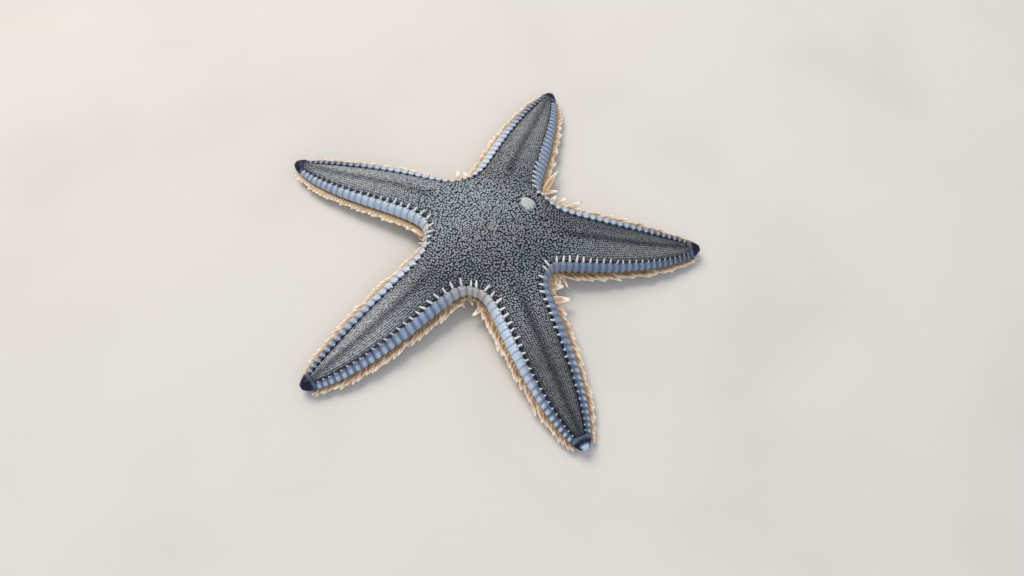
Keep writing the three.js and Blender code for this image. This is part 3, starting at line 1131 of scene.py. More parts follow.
@dataclass(frozen=True)
class Finish:
    """A finish: a Principled surface in coats of colour, with a fine grain in relief."""

    name: str
    roughness: float = 0.5
    ior: float = 1.45
    subsurface: float = 0.0
    subsurface_mm: float = 0.3
    grain: Pattern = Pattern.BLOTCHES
    grain_mm: float = 0.12
    grain_depth: float = 0.04
    grain_strength: float = 1.0

    def material(self) -> Material:
        """Builds the material.

        Returns:
            The material, under the finish's name.
        """
        made = bpy.data.materials.new(self.name)
        made.use_nodes = True
        tree = made.node_tree
        inputs = tree.nodes["Principled BSDF"].inputs
        inputs["Roughness"].default_value = self.roughness
        inputs["IOR"].default_value = self.ior
        inputs["Subsurface Weight"].default_value = self.subsurface
        inputs["Subsurface Scale"].default_value = self.subsurface_mm * MM
        tree.links.new(self.colour(tree), inputs["Base Color"])
        height = self.grain.drawn(tree, self.grain_mm)
        relief = {"Height": height, "Distance": self.grain_depth * MM, "Strength": self.grain_strength}
        tree.links.new(add_node(tree, "Bump", "Normal", relief), inputs["Normal"])
        return made

    def colour(self, tree: Tree) -> Socket:
        """Adds the nodes for the colour and gives their output.

        Args:
            tree: The material's node tree.

        Returns:
            The colour's output.
        """
        raise NotImplementedError

    def share(self, tree: Tree, strength: float, *parts: Part) -> Socket | float:
        """How far a coat covers what lies under it.

        Args:
            tree: The material's node tree.
            strength: The share where all parts are 1.
            parts: The parts, which are multiplied with it.

        Returns:
            The product, which is the strength itself if there are no parts.
        """
        product: Socket | float = strength
        for source, *levels in parts:
            if isinstance(source, str):
                source = add_node(tree, "Attribute", "Fac", {}, attribute_name=source)
            elif isinstance(source, float):
                source = Pattern.BLOTCHES.drawn(tree, source)
            if levels:
                inputs = dict(zip(("From Min", "From Max", "To Min", "To Max"), levels)) | {"Value": source}
                source = add_node(tree, "MapRange", "Result", inputs, interpolation_type="SMOOTHSTEP")
            product = add_node(tree, "Math", 0, {0: source, 1: product}, operation="MULTIPLY")
        return product

    def coated(self, tree: Tree, colour: str | Socket, *coats: Coat) -> Socket:
        """A colour, as a hex code or a socket, under coats of other colours.

        Args:
            tree: The material's node tree.
            colour: The colour underneath.
            coats: The coats, the lowest first.

        Returns:
            The colour with all coats.
        """
        for over, strength, *parts in coats:
            inputs = {0: self.share(tree, strength, *parts), 6: colour, 7: over}
            colour = add_node(tree, "Mix", 2, inputs, data_type="RGBA")
        return colour

    def shaded(self, tree: Tree, colour: Socket, *part: str | float) -> Socket:
        """A colour made lighter or darker by one part."""
        factor = self.share(tree, 1.0, part)
        return add_node(tree, "VectorMath", 0, {0: colour, "Scale": factor}, operation="SCALE")


@dataclass(frozen=True)
class MarkedAndShaded(Finish):
    """A finish that takes the body's colours, with their painted light and shade, from the mesh."""

    navy: str = "#1b2636"
    navy_cover: float = 0.62

    def marked_and_shaded(self, tree: Tree, plain: str, brown: str) -> Socket:
        """Plain to brown, lighter or darker by the paleness, under a navy coat; both hold painted light and
        shade.
        """
        colour = self.coated(tree, plain, (brown, 1.0, ("brown",)))
        return self.coated(tree, self.shaded(tree, colour, "pale"), (self.navy, self.navy_cover, ("navy",)))


@dataclass(frozen=True)
class DampSkin(MarkedAndShaded):
    """Wet slate-coloured skin between the knobs: dark, partly as painted shade, with a soft sheen where it
    shows.
    """

    name: str = "damp_slate_skin"
    roughness: float = 0.45
    dark: str = "#4a5561"
    brown: str = "#43413b"
    light: str = "#7b8289"
    light_brown: str = "#777470"
    below: str = "#c9ae84"

    def colour(self, tree: Tree) -> Socket:
        """Slate above, lighter where the field is calm, partly as painted light, and straw below, in fine
        blotches.
        """
        calm = (self.marked_and_shaded(tree, self.light, self.light_brown), 0.85, ("calm",))
        straw = (self.below, 1.0, ("oral",))
        colour = self.coated(tree, self.marked_and_shaded(tree, self.dark, self.brown), calm, straw)
        return self.shaded(tree, colour, 0.5, 0.3, 0.7, 0.75, 1.15)


@dataclass(frozen=True)
class KnobCalcite(MarkedAndShaded):
    """Knobs of chalky spinelets in wet skin: pale crowns on dark stalks, partly painted shade, softly glossy.
    """

    name: str = "grey_knob_calcite"
    roughness: float = 0.45
    ior: float = 1.5
    grain_mm: float = 0.06
    grain_depth: float = 0.02
    pale: str = "#979fa6"
    brown: str = "#928d86"
    calm: str = "#79828a"
    stalk: str = "#424c58"

    def colour(self, tree: Tree) -> Socket:
        """Pale crown and dark stalk, partly painted shade, which come nearer to each other where the field is
        calm.
        """
        ends = {"Value": self.share(tree, 1.0, ("calm",)), "To Min": 0.95, "To Max": 0.1}
        depth = add_node(tree, "MapRange", "Result", ends)
        calm = (self.marked_and_shaded(tree, self.calm, self.brown), 0.75, ("calm",))
        # Painted shade down the knob's sides towards the gaps, weaker where the field is calm.
        stalk = (self.stalk, 1.0, ("rise", 0.9, 0.62), (depth,))
        return self.coated(tree, self.marked_and_shaded(tree, self.pale, self.brown), calm, stalk)


@dataclass(frozen=True)
class PlateCalcite(Finish):
    """Border plates of limy stone under thin blue skin, satin and finely granular.

    Each has a navy spot in its inner corners, partly painted shadow, so that the spots lie between
    the spines. Towards the tip each may end in painted shade on its inner half and a painted
    highlight on its outer half. The granules are about 0.1 mm, and are drawn at 0.16 mm so that
    they show.
    """

    name: str = "blue_plate_calcite"
    roughness: float = 0.48
    ior: float = 1.5
    grain: Pattern = Pattern.GRANULES
    grain_mm: float = 0.16
    grain_strength: float = 0.5
    steel: str = "#587090"
    pale: str = "#c5d6e8"
    warm: str = "#bdb6a8"
    deep: str = "#2b3a58"
    navy: str = "#141c30"
    spot: float = 0.52
    spot_inset: float = -0.1

    def colour(self, tree: Tree) -> Socket:
        """Steel blue to near white by the row, deeper to the tips, with ridges, seams, painted stud light and
        spots.
        """
        seam, inner = self.share(tree, 1.0, ("seam",)), self.share(tree, 1.0, ("inner",))
        inner = add_node(tree, "Math", 0, {0: inner, 1: self.spot_inset}, operation="SUBTRACT")
        corner = add_node(tree, "CombineXYZ", 0, {"X": seam, "Y": inner})
        away = add_node(tree, "VectorMath", "Value", {0: corner}, operation="LENGTH")
        colour = self.coated(
            tree,
            self.steel,
            (self.pale, 1.0, ("pale",)),
            (self.warm, 1.0, ("warm",)),
            (self.deep, 1.0, ("far",)),
            (self.pale, 0.42, ("bands",), ("ridge", 0.3, 0.95)),
            (self.deep, 0.32, ("bands",), ("seam", 0.22, 0.0)),
            # Studs: painted shade on the plate's inner half and a painted highlight on its outer half.
            (self.deep, 0.75, ("studs",), ("out", 0.75, 0.3)),
            (self.pale, 0.7, ("studs",), ("ridge", 0.25, 0.75), ("out", 0.5, 0.72)),
            # Navy spot between the spines' feet, partly painted shadow.
            (self.navy, 1.0, ("spots",), (away, self.spot, self.spot * 0.35)),
        )
        return self.shaded(tree, colour, 0.35, 0.25, 0.75, 0.9, 1.08)


@dataclass(frozen=True)
class SpineCalcite(Finish):
    """Glassy chalk of the spines: tinted at the root, clean and a little translucent at the tip."""

    name: str = "cream_spine_calcite"
    roughness: float = 0.38
    ior: float = 1.55
    subsurface: float = 0.15
    grain_mm: float = 0.1
    grain_depth: float = 0.02
    root: str = "#c3bec4"
    tip: str = "#faf7f2"
    tint_reach: float = 0.45

    def colour(self, tree: Tree) -> Socket:
        """From the root's tint to the pale tip."""
        tip = (self.tip, 1.0, ("rise", 0.0, self.tint_reach))
        return self.shaded(tree, self.coated(tree, self.root, tip), "pale")


@dataclass(frozen=True)
class FringeCalcite(Finish):
    """Flat fringe spines of satin lime: orange brown inside, with cream rims and points."""

    name: str = "orange_fringe_calcite"
    roughness: float = 0.42
    ior: float = 1.5
    subsurface: float = 0.12
    grain_depth: float = 0.03
    sand: str = "#d4b184"
    orange: str = "#864c26"
    cream: str = "#fbeede"

    def colour(self, tree: Tree) -> Socket:
        """Orange fleck near the root by how tawny the blade is, sandy body, cream outer rim."""
        fleck = (("rise", 0.12, 0.28), ("rise", 0.7, 0.48), ("rim", 0.5, 0.0))
        ends = {0: self.share(tree, 1.0, ("rim", 0.35, 0.85)), 1: self.share(tree, 1.0, ("rise", 0.6, 0.95))}
        edge = add_node(tree, "Math", 0, ends, operation="MAXIMUM")
        orange, cream = (self.orange, 1.0, ("tawny",), *fleck), (self.cream, 1.0, ("creamy",), (edge,))
        return self.shaded(tree, self.coated(tree, self.sand, orange, cream), "pale")


@dataclass(frozen=True)
class EndShell(Finish):
    """Wet, almost black blue stone of the arms' end plates, with a low sheen, partly painted."""

    name: str = "navy_end_plate"
    ior: float = 1.33
    grain_mm: float = 0.18
    navy: str = "#060a1a"
    sheen: str = "#1f3464"
    field: str = "#494e54"
    steel: str = "#566a8a"
    pale: str = "#c9d6ea"

    def colour(self, tree: Tree) -> Socket:
        """Navy cap with a painted sheen in soft lighter blotches, on a slate and steel blue root, and the
        pale point.
        """
        # Painted sheen: lighter blue blotches over the navy cap.
        cap = self.coated(tree, self.navy, (self.sheen, 1.0, (0.5, 0.45, 0.75)))
        steel = (self.steel, 1.0, ("side", 0.35, 0.6))
        return self.coated(tree, self.field, steel, (cap, 1.0, ("cap",)), (self.pale, 1.0, ("bleach",)))


@dataclass(frozen=True)
class PlainCalcite(Finish):
    """Dull limy plates of one colour, mottled a little and finely grained."""

    name: str = "tan_plate_calcite"
    ior: float = 1.5
    grain_mm: float = 0.15
    grain_depth: float = 0.05
    main: str = "#c8b294"
    fleck: str = "#8f765c"
    fleck_mm: float = 0.6

    def colour(self, tree: Tree) -> Socket:
        """Main colour with soft flecks."""
        return self.coated(tree, self.main, (self.fleck, 1.0, (self.fleck_mm, 0.4, 0.75)))


@dataclass(frozen=True)
class SieveStone(Finish):
    """Chalky, pale grey-green stone of the sieve plate, matt, with painted shade in its furrows."""

    name: str = "sieve_plate_calcite"
    roughness: float = 0.6
    grain_mm: float = 0.15
    ridge: str = "#b9bcb8"
    furrow_shade: str = "#9da19a"

    def colour(self, tree: Tree) -> Socket:
        """Pale ridges, with painted shade in the furrows."""
        return self.coated(tree, self.ridge, (self.furrow_shade, 0.7, ("furrow", 0.45, 1.0)))


# ---------------- the body


@dataclass
class Skin:
    """One closed skin over the disc and the arms, with the groove under each arm."""

    star: Star
    markings_and_shade: MarkingsAndShade
    material: Material
    coat_depth: float = 0.45
    outer_share: float = 0.36
    tuck: float = 0.05
    rows_along: int = 64
    row_crowding: float = 1.15
    upper_columns: int = 18
    oral_columns: int = 16
    ray_height: float = 20.0
    tree: BVHTree | None = field(default=None, init=False)

    def depth(self, t: Array) -> Array:
        """How deep the skin lies under the knobs' tops, by the share of the arm's length."""
        return self.coat_depth * blend(1.0, self.outer_share, ease(0.2, 0.6, t))

    def wall(self, at: Stations) -> list[Array]:
        """Points of the wall behind the border plates, from the field's edge down to the floor.

        Args:
            at: The places along a row of border plates.

        Returns:
            The points, level by level.
        """
        scale, width, brim, ambitus = at.scale, at.width, at.brim, at.ambitus
        return [
            at.at(-0.75 * width, brim - 0.32 * scale),
            at.at(-0.4 * width, blend(ambitus, brim, 0.7) - 0.2 * scale),
            at.at(-0.2 * scale, blend(ambitus, brim, 0.25)),
            at.at(-0.3 * scale, ambitus * 0.85),
            at.at(-0.95 * scale, ambitus * 0.35),
            at.at(-FORM.lower_plate_width * scale + 0.3, FORM.underside + 0.1),
        ]

    def oral_height(self, plan: Array) -> Array:
        """Height of the skin's underside at plan points: the grooves and the mouth's hollow.

        Args:
            plan: The plan points.

        Returns:
            The heights.
        """
        arm, t, aside = self.star.arm_coordinates(plan)
        scale = np.choose(arm, [each.scale(t) for each in self.star.ARMS])
        height = np.choose(arm, [each.height(t) for each in self.star.ARMS])
        inside = 1 - ease(-0.25, 0.2, np.abs(aside) - FORM.groove_width(scale))
        deep = FORM.underside + FORM.groove_roof_share * height * inside
        hollow = 1 - ease(0.75, 1.05, np.linalg.norm(plan, axis=-1) / FORM.mouth_hollow_radius)
        return np.maximum(deep, FORM.underside + (FORM.mouth_hollow_height - FORM.underside) * hollow)

    def crest_shares(self, arm: Arm, share: Array) -> Array:
        """Shares of an arm's length at which its two halves meet, from the mouth to the tip.

        Args:
            arm: The arm.
            share: Shares of its rows' length.

        Returns:
            The shares of the arm's length.
        """
        both = [self.star.margins[arm.name, side].stations(share).t for side in Side]
        middle = np.mean(both, axis=0)
        return np.clip(middle - middle[0] * (1 - share) ** 3, 0, 1)

    def half_arm(self, margin: Margin) -> Array:
        """Points of one side of an arm with its part of the disc.

        Args:
            margin: The side's margin.

        Returns:
            Points, station by station from the arc to the tip, and across each station from the
            crest out to the plates and back under the body to the middle line. None lies beyond
            the arc's own middle line.
        """
        share = np.linspace(0, 1, self.rows_along + 1) ** self.row_crowding
        at = margin.stations(share)
        middle_t = self.crest_shares(margin.arm, share)
        crest = upright(margin.arm.line(middle_t), margin.arm.height(middle_t) - self.depth(middle_t))
        edge = at.at(-at.width - self.tuck, at.brim - self.depth(at.t))
        edge[0, :2] = margin.out_of_arc * (margin.arc.reach - at.width[0] - self.tuck)
        columns = []
        for v in np.linspace(0, 1, self.upper_columns + 1):
            plan = blend(crest[:, :2], edge[:, :2], v)
            level = blend(crest[:, 2], edge[:, 2], v**FORM.crown_power)
            columns.append(upright(plan, level))
        walls = self.wall(at)
        for wall in walls:
            wall[0, :2] = margin.out_of_arc * np.linalg.norm(wall[0, :2])
        columns.extend(walls)
        for v in np.linspace(1, 0, self.oral_columns + 1)[1:]:
            plan = blend(crest[:, :2], walls[-1][:, :2], v)
            columns.append(upright(plan, self.oral_height(plan)))
        points = np.stack(columns, axis=1)
        inward = left_of(margin.out_of_arc) * -margin.side.value
        beyond = np.maximum(-(points[..., :2] @ inward), 0)
        points[..., :2] += np.multiply.outer(beyond, inward)
        return points

    def build(self) -> None:
        """Builds the skin and keeps a tree of it for what stands on it."""
        bm = bmesh.new()
        halves = {key: self.half_arm(margin) for key, margin in self.star.margins.items()}
        for i, arm in enumerate(self.star.ARMS):
            one, other = halves[self.star.ARMS[i - 1].name, Side.RIGHT], halves[arm.name, Side.LEFT]
            one[0] = other[0] = (one[0] + other[0]) / 2
        for points in halves.values():
            rows, columns = points.shape[:2]
            grid = bmesh.ops.create_grid(bm, x_segments=columns - 1, y_segments=rows - 1, size=0.5)
            for vert in grid["verts"]:
                row = round((vert.co.y + 0.5) * (rows - 1))
                column = round((vert.co.x + 0.5) * (columns - 1))
                vert.co = points[row, column]
        bmesh.ops.remove_doubles(bm, verts=bm.verts, dist=0.02)
        bmesh.ops.dissolve_degenerate(bm, edges=bm.edges, dist=0.001)
        bmesh.ops.holes_fill(bm, edges=[edge for edge in bm.edges if edge.is_boundary], sides=0)
        bmesh.ops.recalc_face_normals(bm, faces=bm.faces)
        self.tree = BVHTree.FromBMesh(bm)
        bm.verts.ensure_lookup_table()
        points = np.array([vert.co for vert in bm.verts])
        normals = np.array([vert.normal for vert in bm.verts])
        mesh = bpy.data.meshes.new("slate_skin")
        bmesh.ops.scale(bm, verts=bm.verts, vec=(MM, MM, MM))
        bmesh.ops.translate(bm, verts=bm.verts, vec=Vector(self.star.centre * MM))
        bm.to_mesh(mesh)
        bm.free()
        values = self.markings_and_shade.at(points[:, :2]).part(slice(None))
        below = ease(0.2, 0.7, -normals[:, 2]) * (1 - ease(1.6, 2.4, points[:, 2]))
        on_roof = np.abs(points[:, 2] - self.oral_height(points[:, :2])) < 0.02
        values["oral"] = np.maximum(below, on_roof)
        nodes = ["disc"] + [f"arm_{arm.name}" for arm in self.star.ARMS]
        finish_piece(mesh, values, self.material, nodes)

    def footing(self, plan: Array) -> tuple[Array, Array]:
        """Where plan points meet the skin's upper side.

        Args:
            plan: Plan points, one row each.

        Returns:
            The points on the skin, and the skin's normals there.
        """
        starts = (Vector((x, y, self.ray_height)) for x, y in plan)
        hits, normals, _, _ = zip(*(self.tree.ray_cast(start, Vector((0, 0, -1))) for start in starts))
        return np.array(hits), np.array(normals)


@dataclass
class KnobField:
    """The knobs (paxillae) of the upper side: rings round the centre, cross rows on the arms."""

    PROFILE = [(0.5, 0.0), (0.7, 0.5), (1.0, 0.8), (0.93, 0.94), (0.6, 1.0), (0.0, 0.95)]

    star: Star
    markings_and_shade: MarkingsAndShade
    skin: Skin
    material: Material
    disc_spacing: float = 0.36
    arm_spacing: float = 0.33
    tip_spacing: float = 0.28
    rings: int = 13
    disc_radius: float = 9.0
    sieve_clear: float = 1.3
    centre_clear: float = 0.5
    pit_clear: float = 0.75
    edge_clear: float = 0.22
    loose_area: float = 0.02
    closest_share: float = 0.82
    rounds: int = 9
    push: float = 0.26
    lean: float = 0.14
    sunk: float = 0.1
    seed: int = 11

    def spacing(self, plan: Array) -> Array:
        """Distance between neighbours, closer towards the arms' tips.

        Args:
            plan: Plan points.

        Returns:
            The distances.
        """
        away = np.linalg.norm(plan, axis=1)
        near = blend(self.disc_spacing, self.arm_spacing, ease(7.5, 14.0, away))
        return blend(near, self.tip_spacing, ease(18.0, 32.0, away))

    def centre_rings(self, random: np.random.Generator) -> Array:
        """Candidates in rings round the disc's centre.

        Args:
            random: Turns each ring.

        Returns:
            The candidates' plan points.
        """
        found = []
        for ring in range(1, self.rings):
            radius = self.centre_clear + ring * self.disc_spacing * 0.97
            count = round(math.tau * radius / (self.disc_spacing * 1.04))
            found.append(radius * ray_angles((np.arange(count) + random.random()) * math.tau / count))
        return np.concatenate(found) + np.array(CentreTuft.PLACE)

    def side_rows(self) -> Array:
        """Candidates in cross rows that start at the plates and run up to the ridge.

        Returns:
            The candidates' plan points.
        """
        found = []
        for margin in self.star.margins.values():
            distance = 0.2
            while distance < margin.length - 0.1:
                at = margin.stations(np.array([distance / margin.length]))
                start = at.width[0]
                pitch = float(self.spacing(at.point)[0])
                depth = float(margin.arm.half(at.t)[0] * blend(0.45, 1.0, ease(0.12, 0.4, at.t)[0]))
                inward = np.arange(start + 0.16, max(depth, start + 0.2), pitch * 0.95)
                skewed = at.along * (0.35 * (inward - start))[:, None]
                found.append(at.point - at.outward * inward[:, None] + skewed)
                distance += pitch
        return np.concatenate(found)

    def thinned(self, plan: Array, spacing: Array) -> Array:
        """Numbers of the points that keep their distance from all points taken before them.

        Args:
            plan: Plan points, the wanted ones first.
            spacing: The full distance at each.

        Returns:
            The numbers.
        """
        cell = self.disc_spacing
        taken: dict[tuple[int, int], list[int]] = {}
        kept = []
        for i, (x, y) in enumerate(plan.tolist()):
            column, row = math.floor(x / cell), math.floor(y / cell)
            limit = (self.closest_share * spacing[i]) ** 2
            near = (taken.get((column + a, row + b), ()) for a in (-1, 0, 1) for b in (-1, 0, 1))
            if all((u - x) ** 2 + (v - y) ** 2 >= limit for spots in near for u, v in spots):
                taken.setdefault((column, row), []).append((x, y))
                kept.append(i)
        return np.array(kept)

    def relaxed(self, plan: Array, spacing: Array, outline: Array) -> Array:
        """Pushes neighbours apart until they lie evenly.

        Args:
            plan: Plan points.
            spacing: The full distance at each.
            outline: Outline that no point leaves.

        Returns:
            The moved points.
        """
        for _ in range(self.rounds):
            tree = plan_tree(plan)
            push = np.zeros_like(plan)
            for i, (x, y) in enumerate(plan.tolist()):
                reach = 1.1 * spacing[i]
                for place, j, distance in tree.find_range((x, y, 0), reach):
                    if j != i and distance > 1e-6:
                        force = self.push * (reach - distance) / distance
                        push[i, 0] += force * (x - place[0])
                        push[i, 1] += force * (y - place[1])
            moved = plan + push
            keep = inside_outline(moved, outline)
            plan = np.where(keep[:, None], moved, plan)
        return plan

    def places(self, random: np.random.Generator) -> Array:
        """Plan points of all knobs.

        Args:
            random: Scatters the loose candidates.

        Returns:
            The points.
        """
        outline = self.star.outline(lambda at: -at.width - self.edge_clear)
        low, high = outline.min(axis=0), outline.max(axis=0)
        count = int(np.prod(high - low) / self.loose_area)
        loose = blend(low, high, random.random((count, 2)))
        plan = np.concatenate([self.centre_rings(random), self.side_rows(), loose])
        plan = plan[inside_outline(plan, outline)]
        plan = plan[self.thinned(plan, self.spacing(plan))]
        plan = self.relaxed(plan, self.spacing(plan), outline)
        clear = np.linalg.norm(plan - SievePlate.PLACE, axis=1) > self.sieve_clear
        clear &= np.linalg.norm(plan - CentreTuft.PLACE, axis=1) > self.centre_clear
        clear &= self.star.pit_shade(plan) < self.pit_clear
        return plan[clear]

    def unwrapped(self, plan: Array, arm: Arm | None) -> Array:
        """Places on a flat layout of the skin's upper side, from 0 to 1.

        Args:
            plan: Plan points.
            arm: The arm that the layout runs along, or none for the disc.

        Returns:
            The places.
        """
        if arm is None:
            return 0.5 + plan / (2.6 * self.disc_radius)
        t, aside = arm.nearest(plan)
        return columns(0.04 + 0.92 * t, 0.5 + aside / arm.length)

    def build(self) -> None:
        """Builds the disc's knobs and each arm's."""
        knob = turned(self.PROFILE, 8, lobes=4, depth=0.12)
        random = np.random.default_rng(self.seed)
        plan = self.places(random)
        spacing = self.spacing(plan)
        foot, normal = self.skin.footing(plan)
        count = len(plan)
        hint = upright(ray_angles(random.random(count) * math.tau), 0.0)
        axes = axes_along(unit(normal + self.lean * random.standard_normal((count, 3))), hint)
        tint_and_shade = self.markings_and_shade.at(plan)
        radius = spacing * blend(0.5, 0.6, tint_and_shade.calm) * random.uniform(0.85, 1.12, count)
        arm, t, _ = self.star.arm_coordinates(plan)
        height = self.skin.depth(t) * random.uniform(0.86, 1.1, count)
        across = radius * random.uniform(0.85, 1.25, count)
        sizes = columns(across, radius * 0.95, height + self.sunk)
        points = knob.copies(foot - normal * self.sunk, axes, sizes)
        tint_and_shade.pale *= random.uniform(0.88, 1.12, count)
        tint_and_shade.brown = np.clip(tint_and_shade.brown + random.uniform(-0.1, 0.35, count), 0, 1)
        on_disc = np.linalg.norm(plan, axis=1) < self.disc_radius
        for i, each in [(-1, None), *enumerate(self.star.ARMS)]:
            mine = on_disc if each is None else ~on_disc & (arm == i)
            joined = Joined(self.star)
            joined.add(knob, points[mine], tint_and_shade.part(mine), self.unwrapped(plan[mine], each))
            joined.piece("knobs_disc" if each is None else f"knobs_arm_{each.name}", self.material, "skin")


@dataclass
class CentreTuft:
    """Tuft of longer pale papillae over the closed vent at the disc's centre."""

    PLACE = (0.36, -0.08)
    PROFILE = [(0.8, 0.0), (1.0, 0.5), (0.8, 0.85), (0.0, 1.0)]
    TURN = math.radians(137.5)

    star: Star
    skin: Skin
    material: Material
    count: int = 32
    radius: float = 0.62
    height: float = 0.6
    thickness: float = 0.12
    lean: float = 0.25
    seed: int = 4

    def build(self) -> None:
        """Builds the tuft."""
        random = np.random.default_rng(self.seed)
        number = np.arange(self.count)
        away = self.radius * np.sqrt((number + 0.5) / self.count)
        plan = np.array(self.PLACE) + away[:, None] * ray_angles(number * self.TURN)
        foot, _ = self.skin.footing(plan)
        lean = upright(plan - np.array(self.PLACE), 1.0)
        lean = unit(lean + self.lean * random.standard_normal((self.count, 3)))
        papilla = turned(self.PROFILE, 8)
        height = self.height * random.uniform(0.8, 1.1, self.count)
        sizes = columns(self.thickness, random.uniform(0.13, 0.18, self.count), height)
        points = papilla.copies(foot - 0.05 * UP, axes_along(lean, np.array([1.0, 0.2, 0.0])), sizes)
        joined = Joined(self.star)
        joined.add(papilla, points, {"pale": random.uniform(0.75, 1.0, self.count)})
        joined.piece("centre_tuft", self.material, "skin")


@dataclass
class UpperPlates:
    """Upper border plates of one arm: two smooth rows with shallow grooves between the plates."""

    star: Star
    arm: Arm
    material: Material
    half_groove: float = -0.004
    inner_taper: float = 0.1
    fall: float = 0.9
    proud: float = 0.04
    warm_reach: float = 3.5

    def block(self, margin: Margin, shape: Shape, plate: int) -> tuple[Array, dict[str, Array]]:
        """Points of one plate, and how far from its seam and its inner edge each lies.

        Args:
            margin: The row's margin.
            shape: The plate's block.
            plate: The plate's number from the arc.

        Returns:
            The points, and named numbers for them.
        """
        x, y, z = shape.points.T
        first, last = margin.plate_share(np.array([plate, plate + 1])) * margin.length
        out = (y + 1) / 2
        narrow = 1 - self.inner_taper * (1 - out) ** 2 * ease(-0.6, 0.8, z)
        middle, half = (first + last) / 2, (last - first) / 2 - self.half_groove
        at = margin.stations((middle + x * half * narrow) / margin.length)
        width = at.width
        rise = at.brim - at.ambitus
        level = blend(at.ambitus + 0.05, at.brim - rise * self.fall * out**3 + self.proud, (z + 1) / 2)
        values = {"seam": (1 - np.abs(x)) * half, "inner": out * width, "ridge": 1 - np.abs(x), "out": out}
        return at.at(blend(-width, 0.02, out), level), values

    def build(self) -> None:
        """Builds both rows."""
        shape = cushion(5, 6.0, waist=0.03)
        joined = Joined(self.star)
        random = self.arm.random(0)
        for margin, style in self.star.rows(self.arm):
            for plate in range(FORM.plates_per_row):
                points, values = self.block(margin, shape, plate)
                distance = float(margin.plate_share(plate + 0.5) * margin.length)
                share = distance / margin.length
                levels = {
                    "pale": blend(style.pale, style.pale_end, ease(0.35, 0.85, share)),
                    "far": style.dark * ease(0.6, 1.0, share),
                    "warm": style.warm * bell(distance, self.warm_reach),
                    # Spots are partly painted shadow, and studs painted shade and highlight.
                    "spots": style.spots * ease(0.0, 0.12, share),
                    "studs": style.studs * ease(0.3, 0.65, share),
                    "bands": style.bands,
                }
                values = {name: each[None] for name, each in values.items()}
                for name, level in levels.items():
                    values[name] = [min(level * random.uniform(0.88, 1.12), 1.0)]
                joined.add(shape, points[None], values)
        nodes = [f"upper_plates_{self.arm.name}_{side.name.lower()}" for side in Side]
        joined.piece(f"border_plates_upper_{self.arm.name}", self.material, "upper_plates", nodes)


@dataclass
class UpperSpines:
    """One small pointed spine at the inner upper edge of each upper border plate."""

    PROFILE = [(0.85, 0.0), (1.0, 0.3), (0.85, 0.65), (0.5, 0.93), (0.0, 1.0)]

    star: Star
    arm: Arm
    material: Material
    longest: float = 1.4
    shortest: float = 0.2
    radius: float = 0.2
    thinnest: float = 0.62
    lean: float = 0.9
    foot_share: float = 0.78
    foot_drop: float = 0.08
    sunk: float = 0.1
    seed: int = 50

    def build(self) -> None:
        """Builds both rows of spines."""
        shape = turned(self.PROFILE, 8)
        joined = Joined(self.star)
        random = self.arm.random(self.seed)
        for margin, style in self.star.rows(self.arm):
            at = margin.stations(margin.plate_share(np.arange(FORM.plates_per_row) + 0.5))
            count = len(at.t)
            share = at.distance / margin.length
            length = self.longest * style.spine * at.scale * (1 - 0.85 * ease(0.08, 0.9, share))
            length = (length + self.shortest) * random.uniform(0.75, 1.1, count)
            lean = self.lean + 0.2 * random.standard_normal(count)
            swing = style.swing * ease(1.0, 6.0, at.distance) + 0.12 * random.standard_normal(count)
            distal = upright(at.along, 0.0)
            direction = unit(UP + upright(-at.outward, 0.0) * lean[:, None] + distal * swing[:, None])
            root = at.at(-self.foot_share * at.width, at.brim - self.foot_drop)
            thick = self.radius * at.scale * blend(self.thinnest, 1, np.clip(length / self.longest, 0, 1))
            sizes = columns(thick, thick * 0.9, length + self.sunk)
            points = shape.copies(root, axes_along(direction, distal), sizes)
            roots = columns(0.05 + 0.9 * share, 0.5 + 0.2 * margin.side.value)
            pale = random.uniform(0.85, 1.0, count) * (1 - 0.3 * ease(0.15, 0.6, share))
            joined.add(shape, points, {"pale": pale}, roots)
        joined.piece(f"border_spines_upper_{self.arm.name}", self.material, "cream_spines")


